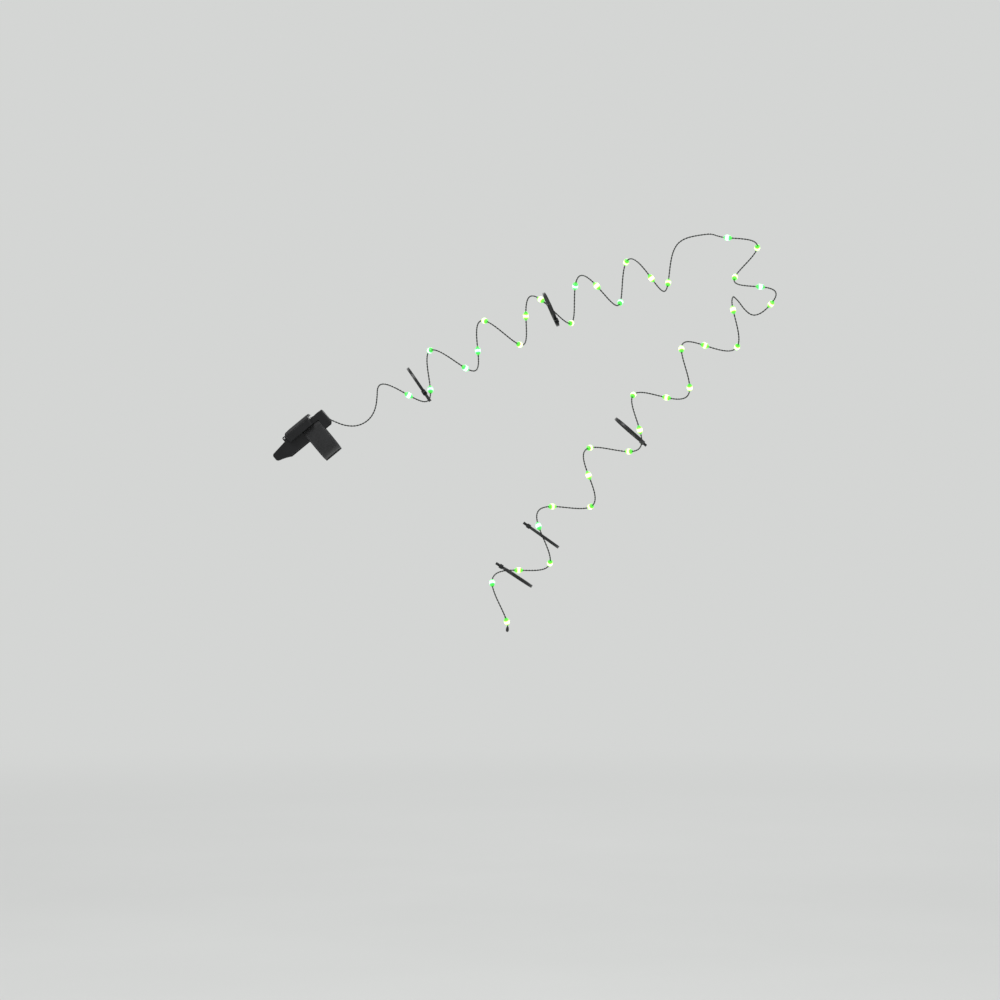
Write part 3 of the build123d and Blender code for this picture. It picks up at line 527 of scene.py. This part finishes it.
thread_paint = moulded("strap_thread", (0.06, 0.061, 0.064), (0.09, 0.091, 0.095), 0.6, 4000, 0.03, 0.0)
board_paint = board_material()
cell_paint = cell_material()
webbing_paint = webbing_material()
contact_paint = metal("contact_metal", (0.62, 0.6, 0.56), (0.8, 0.79, 0.76), 0.28, (1, 8, 1))
lead_paint = metal("lead_metal", (0.6, 0.58, 0.54), (0.78, 0.77, 0.74), 0.32, (8, 1, 1))
switch_paint = metal("switch_metal", (0.6, 0.6, 0.6), (0.76, 0.76, 0.76), 0.3, (1, 6, 1))
screw_paint = metal("screw_steel", (0.3, 0.3, 0.31), (0.48, 0.48, 0.49), 0.3, (3, 3, 3))
pin_paint = metal("pin_steel", (0.5, 0.5, 0.51), (0.68, 0.68, 0.69), 0.25, (1, 14, 1))
warm_lamp = lamp_material("lamp_lens", (0.03, 0.62, 0.005), (0.24, 1.0, 0.02), (0.62, 1.0, 0.3))
cool_lamp = lamp_material("lamp_lens_green", (0.005, 0.6, 0.04), (0.03, 1.0, 0.12), (0.3, 1.0, 0.42))


# String: two insulated cores, twisted together
PAIR_STEP = 0.55
PAIR_PITCH = 7.7
CORE_R = 0.53
CORE_APART = 0.37
PAIR_SIDES = 14

tube_line = evenly(LINE, PAIR_STEP * MM)
pair_rings = []
side = (tube_line[1] - tube_line[0]).orthogonal()
for number, place in enumerate(tube_line):
    way = (tube_line[min(number + 1, len(tube_line) - 1)] - tube_line[max(number - 1, 0)]).normalized()
    side = (side - way * side.dot(way)).normalized()
    up = way.cross(side)
    turned = 2 * pi * number * PAIR_STEP / PAIR_PITCH
    ring = []
    for corner in range(PAIR_SIDES):
        angle = 2 * pi * corner / PAIR_SIDES
        reach = CORE_APART * abs(cos(angle)) + sqrt(CORE_R**2 - (CORE_APART * sin(angle)) ** 2)
        ring.append(place + (side * cos(angle + turned) + up * sin(angle + turned)) * reach * MM)
    pair_rings.append(ring)
pair = Shape()
pair.rings(pair_rings)
string_lead = dress(pair.made("string_lead", wire_paint), ROOT, "wire_sheath", "string_wire")


# Lamps: a lens with a moulding seam and a sleeve at each end, bent with the wire
LAMP_SIDES = 24
LENS_END = 4.3
HEAT_SPREAD = 2.5
GLOW_MEAN, GLOW_OUTWARD = 0.9, 0.1
LENS_HALF = (
    (0.0, LAMP_R), (0.14, LAMP_R), (0.2, LAMP_R - 0.07), (1.2, LAMP_R - 0.08), (2.4, LAMP_R - 0.16),
    (3.2, LAMP_R - 0.42), (3.75, LAMP_R - 0.84), (4.1, LAMP_R - 1.35), (LENS_END, 1.62), (4.45, 1.5),
    (4.6, 1.58), (4.85, 1.58), (4.95, 1.42), (5.1, 1.54), (5.3, 1.5),
    (LAMP_LENGTH / 2, 1.3), (LAMP_LENGTH / 2, 0.8),
)
LENS_PROFILE = [(-along, radius) for along, radius in reversed(LENS_HALF)] + list(LENS_HALF[1:])
# lamps whose glow is a purer green in the photograph
PURE_ONES = {0, 1, 2, 3, 4, 10, 12, 16, 19, 34, 37}
LAMPS_PER_PIECE = 3

lamp_places = [(winding, count) for winding, number in LAMPS for count in range(number)]
for first in range(0, len(lamp_places), LAMPS_PER_PIECE):
    lamps = Shape()
    heats, is_pure = [], []
    corner_angles = [2 * pi * corner / LAMP_SIDES for corner in range(LAMP_SIDES)]
    for number in range(first, first + LAMPS_PER_PIECE):
        winding, count = lamp_places[number]
        middle = nearest(winding.point(count) * MM)
        radial = winding.outward(count)
        rings = []
        for along, radius in LENS_PROFILE:
            centre, way = at_reach(middle + along * MM)
            rings.append(ring_at(centre, way, radius, LAMP_SIDES, radial))
            heat = exp(-((along / HEAT_SPREAD) ** 2)) if abs(along) < LENS_END else 0.0
            heats += [heat * (GLOW_MEAN + GLOW_OUTWARD * cos(angle)) for angle in corner_angles]
        known = len(lamps.faces)
        lamps.rings(rings)
        is_pure += [number in PURE_ONES] * (len(lamps.faces) - known)
    piece = lamps.made(f"lamp_lenses_{first // LAMPS_PER_PIECE + 1:02d}", warm_lamp)
    piece.data.materials.append(cool_lamp.material)
    piece.data.polygons.foreach_set("material_index", [int(pure) for pure in is_pure])
    set_values(piece, "core_heat", "FLOAT", "value", heats)
    dress(piece, ROOT, "lamp_lens", f"lamps_turn_{first // LAMPS_PER_PIECE + 1:02d}")


# Sealed end of the string
END_PROFILE = (
    (-6.0, 0.8), (-6.0, 1.25), (-5.8, 1.45), (-5.1, 1.55), (-4.9, 1.4), (-4.7, 1.58),
    (-4.2, 1.62), (-4.0, 1.46), (-3.8, 1.68), (-3.2, 1.84), (-2.0, 1.9), (0.0, 1.88),
    (1.0, 1.78), (1.5, 1.5), (1.85, 1.1), (2.0, 0.6), (2.02, 0.2),
)
seal = Shape()
seal.turned(LINE[-1], (LINE[-1] - LINE[-4]).normalized(), END_PROFILE, LAMP_SIDES)
end_seal = dress(seal.made("string_end_seal", cap_paint), ROOT, "end_cap_plastic", "string_end_cap")


# Cable ties: a band pulled tight over tube and string, a slotted head and a toothed tail
TIE_HALF = 1.8
TIE_THICK = 1.2
TIE_SECTION = (
    (-1.8, -0.3), (-1.55, -0.6), (1.55, -0.6), (1.8, -0.3), (1.8, 0.35), (1.6, 0.6),
    (1.25, 0.6), (1.1, 0.45), (-1.1, 0.45), (-1.25, 0.6), (-1.6, 0.6), (-1.8, 0.35),
)
TIE_STEP = 0.8
TIE_OVER_WIRE = WIRE_R + 0.1 + TIE_THICK / 2
HEAD_HALF = 2.7
HEAD_FOOT, HEAD_TOP = 0.3, 5.0
HEAD_CORNER, SLOT_CORNER, SLOT_PLAY = 0.9, 0.3, 0.25
TAIL_MIDDLE, TAIL_HALF, TAIL_LENGTH = 0.7, 1.6, 5.0
TAIL_SUNK, TAIL_BACK, TAIL_LEAN = 2.0, 0.6, 0.5
TOOTH, TOOTH_FACES = 0.8, (0.58, 0.42)
TIES = {
    "cable_ties_top_tube": (top_tube, ((0.68, -38), (8.3, -42))),
    "cable_ties_down_tube": (down_tube, ((7.3, 110), (13.25, -90), (15.25, -90))),
}


def hull(points):
    """Outline of the convex hull of flat points, anticlockwise."""
    def half(order):
        chain = []
        for point in order:
            while len(chain) > 1 and (chain[-1] - chain[-2]).cross(point - chain[-2]) <= 0:
                chain.pop()
            chain.append(point)
        return chain[:-1]

    order = sorted(points, key=lambda point: (point.x, point.y))
    return half(order) + half(order[::-1])


def circle(middle, radius, count):
    """Flat points round a place."""
    angles = [2 * pi * number / count for number in range(count)]
    return [middle + Vector((cos(angle), sin(angle))) * radius for angle in angles]


def tie_band(centre, along, out, over, tube_r):
    """Rings of the band, which lies on the tube and is stretched over the wire."""
    reach = [place / MM - centre for place in LINE]
    under = [
        Vector((place.dot(out), place.dot(over)))
        for place in reach
        if abs(place.dot(along)) < TIE_HALF + WIRE_R
        and place.dot(out) > tube_r / 2
        and place.length < 2 * tube_r
    ]
    points = circle(Vector((0, 0)), tube_r + TIE_THICK / 2, 120)
    for place in under[::3]:
        points += circle(place, TIE_OVER_WIRE, 24)
    loop = evenly(hull(points), TIE_STEP, closed=True)
    rings = []
    for number, place in enumerate(loop):
        way = (loop[(number + 1) % len(loop)] - loop[number - 1]).normalized()
        away = Vector((way.y, -way.x))
        ring = []
        for across, level in TIE_SECTION:
            x, y = place.x + away.x * level, place.y + away.y * level
            ring.append((centre + along * across + out * x + over * y) * MM)
        rings.append(ring)
    return rings


def tie_head(seat, along, out, over):
    """Rings of the head: a rounded block with a slot down its middle."""
    outer = ((0.0, 0.35), (0.35, 0.0), (4.2, 0.0), (4.5, 0.12), (4.7, 0.4))
    outlines = []
    for up, inset in outer:
        outlines.append((HEAD_FOOT + up, rounded(HEAD_HALF - inset, HEAD_HALF - inset, HEAD_CORNER)))
    for depth, grow in ((0.0, 0.25), (0.25, 0.0), (1.8, 0.0)):
        half_x, half_y = TIE_THICK / 2 + SLOT_PLAY + grow, TAIL_HALF + 0.2 + grow
        outlines.append((HEAD_TOP - depth, rounded(half_x, half_y, SLOT_CORNER, TAIL_MIDDLE)))
    return [[(seat + out * up + over * x + along * y) * MM for x, y in outline] for up, outline in outlines]


def tie_tail(seat, along, out, over):
    """Rings of the cut tail, with teeth across one face."""
    rings = []
    steps = round((TAIL_LENGTH + TAIL_SUNK) / (TOOTH / 2))
    for step in range(steps + 1):
        up = HEAD_TOP - TAIL_SUNK + step * TOOTH / 2
        face = TOOTH_FACES[step % 2]
        half_outline = ((face, 0.35), (0.3, 0.0), (-0.35, 0.0), (-TAIL_BACK, 0.3))
        outline = [(x, TAIL_HALF - inset) for x, inset in half_outline]
        outline += [(x, -y) for x, y in reversed(outline)]
        lean = TAIL_LEAN if step == steps else 0.0
        ring = []
        for x, y in outline:
            spot = seat + out * (up - lean * (x + TAIL_BACK)) + over * (TAIL_MIDDLE + x) + along * y
            ring.append(spot * MM)
        rings.append(ring)
    return rings


for node, (winding, places) in TIES.items():
    ties = Shape()
    for count, head_angle in places:
        centre = winding.axis_point(count)
        along = winding.direction(count)
        out = winding.outward(count)
        ties.rings(tie_band(centre, along, out, along.cross(out), winding.tube_r), closed=True)
        out = winding.outward(count, head_angle)
        seat = centre + out * winding.tube_r
        ties.rings(tie_head(seat, along, out, along.cross(out)))
        ties.rings(tie_tail(seat, along, out, along.cross(out)))
    made = ties.made(node.replace("cable_ties", "nylon_ties"), tie_paint, smooth=False)
    dress(made, ROOT, "tie_nylon", node)


# Strap: one length of webbing, through the slot of the case, round the tube and onto itself
STRAP_HALF = 12.0
STRAP_THICK = 1.5
STRAP_R = 18.5 + STRAP_THICK / 2
STRAP_LEVEL = 21.7
STRAP_CORNER_R = 5.0
OVERLAP = STRAP_THICK + 0.05
INNER_END, LEAVE_ANGLE, FREE_END = 6, 12, -96
LEAVE_LEVEL, LEAVE_STEPS = 12.0, 10
STRAP_STEP = 0.9
STRAP_SIDES = 48
SELVEDGE = 0.7
RIB_PITCH, RIB_HEIGHT, EDGE_HEIGHT = 1.5, 0.05, 0.03


def arc(x, y, radius, start, end, count=40):
    """Points of an arc from one angle to another."""
    turned = [radians(start + (end - start) * k / count) for k in range(count + 1)]
    return [Vector((x + radius * cos(angle), y + radius * sin(angle))) for angle in turned]


def strap_line():
    """Middle line of the strap, across the tube and upwards, from its hidden end to its free end."""
    corner_x, corner_y = STRAP_R - STRAP_CORNER_R, STRAP_LEVEL - STRAP_CORNER_R
    line = arc(0, 0, STRAP_R, INNER_END, -180, 120)
    line += arc(-corner_x, corner_y, STRAP_CORNER_R, 180, 90)
    line += arc(corner_x, corner_y, STRAP_CORNER_R, 90, 0)
    outer = arc(0, 0, STRAP_R + OVERLAP, LEAVE_ANGLE, FREE_END, 80)
    leave = Vector((STRAP_R, LEAVE_LEVEL))
    shift = (outer[0].x - STRAP_R) / sin(radians(LEAVE_ANGLE))
    bend = Vector((STRAP_R, outer[0].y + shift * cos(radians(LEAVE_ANGLE))))
    shares = [step / LEAVE_STEPS for step in range(LEAVE_STEPS)]
    line += [leave.lerp(bend, share).lerp(bend.lerp(outer[0], share), share) for share in shares]
    return evenly(line + outer, STRAP_STEP)


def strap_section(narrowing):
    """(across, level) round the webbing's section, with ribs along it and rounded selvedges."""
    half = STRAP_HALF - narrowing
    outline = []
    for side in (1, -1):
        for number in range(STRAP_SIDES + 1):
            share = -1 + 2 * number / STRAP_SIDES
            past = max(0.0, abs(share) * half - half + SELVEDGE) / SELVEDGE
            rib = RIB_HEIGHT * cos(2 * pi * share * half / RIB_PITCH) if past == 0 else EDGE_HEIGHT
            level = (STRAP_THICK / 2 + rib) * sqrt(max(0.02, 1 - past**2))
            outline.append((side * share * half, side * level))
    return outline


strap_spots = strap_line()
strap_ways = [
    (strap_spots[min(k + 1, len(strap_spots) - 1)] - strap_spots[max(k - 1, 0)]).normalized()
    for k in range(len(strap_spots))
]


def strap_point(number, across, level):
    """A point of the strap: at a station, this far across it and above its middle."""
    place, way = strap_spots[number], strap_ways[number]
    away = Vector((-way.y, way.x))
    return pack_point(across, place.x + away.x * level, place.y + away.y * level)


END_CORNER = 4.0
strap_rings, cloth_places = [], []
for number in range(len(strap_spots)):
    left = (len(strap_spots) - 1 - number) * STRAP_STEP
    corner = END_CORNER - sqrt(END_CORNER**2 - (END_CORNER - left) ** 2) if left < END_CORNER else 0.0
    outline = strap_section(corner)
    strap_rings.append([strap_point(number, across, level) for across, level in outline])
    for across, level in outline:
        cloth_places += (number * STRAP_STEP, across, 0.0)
webbing = Shape()
webbing.rings(strap_rings)
strap = webbing.made("strap_webbing", webbing_paint)
set_values(strap, "cloth_place", "FLOAT_VECTOR", "vector", cloth_places)
dress(strap, ROOT, "strap_webbing", "strap")

# stitches: two rows along the edges, and a crossed box that holds the free end's hook patch
STITCH_LENGTH, STITCH_GAP, STITCH_R = 2.0, 0.8, 0.24
STITCH_TIP = ((0.0, 0.05), (0.1, 0.16), (0.35, STITCH_R))
STITCH_RISE, STITCH_SIDES, STITCH_SHARE = 0.06, 6, 0.72
EDGE_ROW = STRAP_HALF - 1.6
BOX_START, BOX_END, BOX_HALF = 22.0, 5.0, 8.5
SLOT_LEVEL = 15.0
HIDDEN_MARGIN, END_MARGIN = 4, 3
stitch_pitch = round((STITCH_LENGTH + STITCH_GAP) / STRAP_STEP)
last = len(strap_spots) - 1
hidden = round((INNER_END - FREE_END + HIDDEN_MARGIN) * pi / 180 * STRAP_R / STRAP_STEP)


def stitch(shape, station, across, next_station, next_across):
    """One stitch, a short thread that lies on the outside of the strap."""
    number, after = min(round(station), last), min(round(next_station), last)
    start = strap_point(number, across, STRAP_THICK / 2 + STITCH_RISE)
    end = strap_point(after, next_across, STRAP_THICK / 2 + STITCH_RISE)
    way = (end - start).normalized()
    length = (end - start).length / MM
    profile = [*STITCH_TIP] + [(length - along, radius) for along, radius in reversed(STITCH_TIP)]
    shape.turned(start, way, profile, STITCH_SIDES)


stitches = Shape()
for edge in (-EDGE_ROW, EDGE_ROW):
    for number in range(hidden, last - END_MARGIN, stitch_pitch):
        if strap_spots[number].y < SLOT_LEVEL:
            stitch(stitches, number, edge, number + STITCH_LENGTH / STRAP_STEP, edge)
box_first, box_last = last - BOX_START / STRAP_STEP, last - BOX_END / STRAP_STEP
corners = ((box_first, -BOX_HALF), (box_last, -BOX_HALF), (box_last, BOX_HALF), (box_first, BOX_HALF))
runs = list(zip(corners, corners[1:] + corners[:1])) + [(corners[0], corners[2]), (corners[1], corners[3])]
for (station, across), (other_station, other_across) in runs:
    length = sqrt(((other_station - station) * STRAP_STEP) ** 2 + (other_across - across) ** 2)
    count = round(length / (STITCH_LENGTH + STITCH_GAP))
    for number in range(count):
        share, share_after = number / count, (number + STITCH_SHARE) / count
        stitch(
            stitches,
            station + (other_station - station) * share,
            across + (other_across - across) * share,
            station + (other_station - station) * share_after,
            across + (other_across - across) * share_after,
        )
dress(stitches.made("strap_stitching", thread_paint), ROOT, "strap_webbing")


# Rubber pad under the case: a shell with ridges that grip the tube
PAD_R, PAD_THICK = 18.5, 1.2
PAD_ANGLE = 57.0
PAD_PLAN = ((-56.0, 9.0), (-38.0, 16.3), (21.4, 18.3))
PAD_END, PAD_CORNER = 4.0, 9.0
PAD_STEPS, RIDGE_STEPS, STEPS_PER_RIDGE = 48, 96, 4
PAD_GROOVE = 0.3


def pad_half_angle(along):
    """Half of the angle that the pad covers at this place along the tube."""
    rear, waist, front_end = PAD_PLAN
    one, other = (rear, waist) if along < waist[0] else (waist, front_end)
    half = one[1] + (other[1] - one[1]) * (along - one[0]) / (other[0] - one[0])
    past = min(1.0, max(0.0, along - (front_end[0] - PAD_END)) / PAD_END)
    widest = min(PAD_ANGLE, degrees(asin(half / (PAD_R + PAD_THICK))))
    return widest - PAD_CORNER * (1 - sqrt(1 - past**2))


pad_rings = []
for number in range(PAD_STEPS + 1):
    along = PAD_PLAN[0][0] + (PAD_PLAN[2][0] - PAD_PLAN[0][0]) * number / PAD_STEPS
    half = pad_half_angle(along)
    ring = []
    for step in range(RIDGE_STEPS + 1):
        groove = PAD_GROOVE if step % STEPS_PER_RIDGE == STEPS_PER_RIDGE // 2 else 0.0
        ring.append((PAD_R + groove, -half + 2 * half * step / RIDGE_STEPS))
    ring += [(PAD_R + PAD_THICK, half - 2 * half * step / PAD_STEPS) for step in range(PAD_STEPS + 1)]
    spots = [(radius, radians(angle)) for radius, angle in ring]
    pad_rings.append([pack_point(along, radius * sin(turn), radius * cos(turn)) for radius, turn in spots])
pad = Shape()
pad.rings(pad_rings)
dress(pad.made("ridged_pad", pad_paint, smooth=False), ROOT, "pad_rubber", "saddle_pad")


# Grommet: flange and collar on the far wall, and a ribbed boot that tapers to the wire
BOOT_START, BOOT_ROOT_R, BOOT_TIP_R, BOOT_RIBS = 19.65, 2.7, 1.9, 6
RIBBED_SHARE = 0.97
BOOT_RIB = ((0.1, 0.0), (0.5, 0.0), (0.6, 0.15), (0.7, 0.5), (0.85, 0.5), (0.95, 0.15))
grommet_profile = [
    (12.9, 0.95), (12.9, 1.95), (13.0, 2.12), (13.3, 2.14), (13.45, 2.05), (13.45, 1.84), (18.36, 1.84),
    (18.36, 2.9), (18.5, 3.12), (18.75, 3.2), (19.25, 3.2), (19.5, 3.08), (BOOT_START, 2.8),
]
for rib in range(BOOT_RIBS):
    for share, drop in BOOT_RIB:
        along = (rib + share) / BOOT_RIBS
        radius = BOOT_ROOT_R + (BOOT_TIP_R - BOOT_ROOT_R) * along
        grommet_profile.append((BOOT_START + (BOOT_END - BOOT_START) * along * RIBBED_SHARE, radius - drop))
grommet_profile += [(BOOT_END - 0.2, BOOT_TIP_R - 0.05), (BOOT_END, BOOT_TIP_R - 0.25), (BOOT_END, 0.95)]
grommet = Shape()
wall_spot = pack_point(EXIT_ALONG, 0, EXIT_LEVEL)
grommet.turned(wall_spot, ACROSS, grommet_profile, 32, closed=True)
dress(grommet.made("ribbed_grommet", grommet_paint), ROOT, "grommet_rubber", "lead_grommet")


# Push button: a domed rubber cap with a ring round its middle
button_low, button_high = extent("push_button")
button_along = (button_low.x + button_high.x) / 2
button_across = (button_low.y + button_high.y) / 2
button_spot = pack_point(button_along, button_across, button_low.z)
button_height = button_high.z - button_low.z
# the flange is measured from the foot, and the dome down from the top
FLANGE_PROFILE = ((0.0, 0.2), (0.0, 4.9), (0.1, 5.0), (0.5, 5.0), (0.6, 4.9), (0.6, 4.1), (0.7, 4.0))
DOME_PROFILE = (
    (0.75, 4.0), (0.42, 3.93), (0.2, 3.72), (0.08, 3.4), (0.04, 2.7),
    (0.22, 2.55), (0.22, 2.2), (0.02, 2.05), (0.0, 1.2), (0.0, 0.2),
)
button_profile = [*FLANGE_PROFILE] + [(button_height - drop, radius) for drop, radius in DOME_PROFILE]
button = Shape()
button.turned(button_spot, UPWARD, button_profile, 48)
dress(button.made("button_cap", button_paint), "button", "button_rubber", "push_button")


# Screws of the cover, pan heads with a cross recess
SCREW_HEAD_R, SCREW_HEAD, SCREW_SHANK_R = 1.9, 1.1, 0.95
RECESS_TURN, RECESS_DEPTH, RECESS_FOOT = 20, 0.65, 0.6
RECESS_CORNERS = ((0.3, -0.3), (1.2, -0.24), (1.2, 0.24))
CUT_OVER = 0.2
screw_low, screw_high = extent("cover_screws")
head_foot = screw_high.z - SCREW_HEAD
screw_tip = screw_low.z - head_foot
SCREW_PROFILE = (
    (screw_tip, 0.3), (screw_tip + 0.3, SCREW_SHANK_R), (0.0, SCREW_SHANK_R), (0.0, 1.8),
    (0.08, SCREW_HEAD_R), (0.5, SCREW_HEAD_R), (0.75, 1.78), (0.93, 1.5),
    (1.04, 1.1), (SCREW_HEAD, 0.6), (SCREW_HEAD, 0.1),
)


def cut(body, tool):
    """Take one object's space out of another's."""
    change = body.modifiers.new("cut", "BOOLEAN")
    change.operation = "DIFFERENCE"
    change.solver = "EXACT"
    change.object = tool
    bpy.context.view_layer.update()
    shaped = bpy.data.meshes.new_from_object(body.evaluated_get(bpy.context.evaluated_depsgraph_get()))
    body.modifiers.clear()
    body.data = shaped
    bpy.data.objects.remove(tool)


screws, recesses = Shape(), Shape()
for side in (screw_low.y + SCREW_HEAD_R, screw_high.y - SCREW_HEAD_R):
    spot = pack_point((screw_low.x + screw_high.x) / 2, side, head_foot)
    screws.turned(spot, UPWARD, SCREW_PROFILE, 32)
    star = []
    for quarter in range(4):
        angle = radians(90 * quarter + RECESS_TURN)
        out = TUBEWARD * cos(angle) + ACROSS * sin(angle)
        over = UPWARD.cross(out)
        star += [(out, over, reach, wide) for reach, wide in RECESS_CORNERS]
    recess_rings = []
    for level, grow in ((SCREW_HEAD - RECESS_DEPTH, RECESS_FOOT), (SCREW_HEAD + CUT_OVER, 1.0)):
        foot = UPWARD * level
        recess_rings.append(
            [spot + (foot + out * reach * grow + over * wide) * MM for out, over, reach, wide in star]
        )
    recesses.rings(recess_rings)
screw_object = screws.made("pan_head_screws", screw_paint)
cut(screw_object, recesses.made("recesses", screw_paint))
dress(screw_object, ROOT, "screw_steel", "cover_screws")


# Cells with rolled shoulders, an insulating ring and a raised contact
CELL_PROFILE = (
    (0.0, 0.3), (0.0, 3.4), (0.15, 3.7), (0.15, 4.4), (0.05, 4.75), (0.2, 5.05), (0.6, 5.2),
    (1.1, 5.25), (42.1, 5.25), (42.55, 5.2), (42.85, 5.0), (43.0, 4.6), (42.95, 4.1), (43.1, 3.9),
    (43.1, 2.6), (43.25, 2.2), (43.35, 1.9), (43.9, 1.85), (44.05, 1.7), (44.1, 1.3), (44.1, 0.2),
)
CELL_LENGTH = CELL_PROFILE[-1][0]
CELL_END = 0.5
for name in ("cell_1", "cell_2", "cell_3"):
    low, high = extent(name)
    # the raised contact's end of the solid has fewer points than the flat end
    places = [vertex.co.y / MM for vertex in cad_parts[name].data.vertices]
    at_high = sum(place > high.y - CELL_END for place in places)
    at_low = sum(place < low.y + CELL_END for place in places)
    contact_side = 1 if at_high < at_low else -1
    start = low.y if contact_side == 1 else high.y
    cell = Shape()
    spot = pack_point((low.x + high.x) / 2, start, (low.z + high.z) / 2)
    cell.turned(spot, ACROSS * contact_side, CELL_PROFILE, 48)
    made = cell.made(name.replace("cell", "dry_cell"), cell_paint)
    places = [abs(vertex.y / MM - start) / CELL_LENGTH for vertex in cell.vertices]
    set_values(made, "cell_place", "FLOAT", "value", places)
    dress(made, ROOT, "cell_wrap", name)


# Finishes of the solids that stay
FINISHES = {
    "case_base": case_paint,
    "battery_door": door_paint,
    "switch_cover": cover_paint,
    "door_seal": seal_paint,
    "lead_connector": connector_paint,
    "switch_plunger": plunger_paint,
    "driver_chip": chip_paint,
    "dropper_resistor": resistor_paint,
    "circuit_board": board_paint,
    "tact_switch": switch_paint,
    "hinge_pin": pin_paint,
    "battery_leads": lead_paint,
    "contact_link_far": contact_paint,
    "contact_end_far": contact_paint,
    "contact_end_near": contact_paint,
    "contact_link_near": contact_paint,
}
for name, paint in FINISHES.items():
    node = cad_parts[name]
    if not node.material_slots:
        node.data.materials.append(paint.material)
    for slot_of_node in node.material_slots:
        slot_of_node.material = paint.material


# Floor, background and light
FLOOR_LEVEL = -0.634
FLOOR_R, FLOOR_SIDES = 12.0, 64
BACKGROUND = (0.66, 0.67, 0.66)
FADE_START, FADE_END = 0.5, 3.6


def floor_material():
    """Pale floor that takes the object's shadow and runs out into the background."""
    paint = Paint("floor", (0.66, 0.67, 0.66), 0.75, specular=0.2)
    apart = paint.node("VectorMath", operation="LENGTH")
    paint.feed(apart.inputs[0], paint.place)
    far = paint.node("MapRange", interpolation_type="SMOOTHSTEP", From_Min=FADE_START, From_Max=FADE_END)
    paint.feed(far.inputs["Value"], apart.outputs["Value"])
    dim, pale = (0.65, 0.66, 0.65), (0.67, 0.68, 0.67)
    paint.set("Base Color", paint.ramp(paint.noise(2.0, 3), (0.3, dim), (0.7, pale)))
    plain = paint.node("Emission", Color=(*BACKGROUND, 1))
    mix = paint.node("MixShader", Fac=far.outputs["Result"])
    paint.feed(mix.inputs[1], paint.shader.outputs["BSDF"])
    paint.feed(mix.inputs[2], plain.outputs["Emission"])
    output = next(node for node in paint.tree.nodes if node.type == "OUTPUT_MATERIAL")
    paint.feed(output.inputs["Surface"], mix.outputs["Shader"])
    return paint


floor_angles = [2 * pi * side / FLOOR_SIDES for side in range(FLOOR_SIDES)]
rim = [Vector((FLOOR_R * cos(angle), FLOOR_R * sin(angle), 0)) for angle in floor_angles]
floor = new_object("floor", rim, [tuple(range(FLOOR_SIDES))], floor_material().material)
floor.location = (VIEW_MIDDLE.x, 0, FLOOR_LEVEL)

world = bpy.data.worlds.new("studio")
bpy.context.scene.world = world
world.use_nodes = True
sky = world.node_tree
sky.nodes.clear()


def sky_light(colour, strength):
    """Plain light from all round."""
    made = sky.nodes.new("ShaderNodeBackground")
    made.inputs["Color"].default_value = (*colour, 1)
    made.inputs["Strength"].default_value = strength
    return made.outputs["Background"]


# the background as it is seen, straight or in a reflection, and the light that comes from it
ray = sky.nodes.new("ShaderNodeLightPath")
seen = ray.outputs["Is Camera Ray"]
for name in ("Is Glossy Ray", "Is Transmission Ray"):
    either = sky.nodes.new("ShaderNodeMath")
    either.operation = "MAXIMUM"
    sky.links.new(seen, either.inputs[0])
    sky.links.new(ray.outputs[name], either.inputs[1])
    seen = either.outputs["Value"]
choose = sky.nodes.new("ShaderNodeMixShader")
sky_output = sky.nodes.new("ShaderNodeOutputWorld")
sky.links.new(seen, choose.inputs["Fac"])
sky.links.new(sky_light((1, 1, 1), 0.55), choose.inputs[1])
sky.links.new(sky_light(BACKGROUND, 1.0), choose.inputs[2])
sky.links.new(choose.outputs["Shader"], sky_output.inputs["Surface"])


def soft_light(name, place, aim, size, power):
    """A large square lamp that points at a place."""
    data = bpy.data.lights.new(name, "AREA")
    data.shape = "SQUARE"
    data.size = size
    data.energy = power
    made = bpy.data.objects.new(name, data)
    made.location = place
    made.rotation_euler = (Vector(aim) - Vector(place)).to_track_quat("-Z", "Y").to_euler()
    bpy.context.scene.collection.objects.link(made)


middle = tuple(VIEW_MIDDLE + Vector((0, 0, 0.1)))
soft_light("key", (-1.1, -1.9, 2.2), middle, 1.4, 42)
soft_light("fill", (2.2, -1.8, 0.6), middle, 1.6, 14)
soft_light("rim", (0.6, 2.4, 1.7), middle, 1.4, 24)
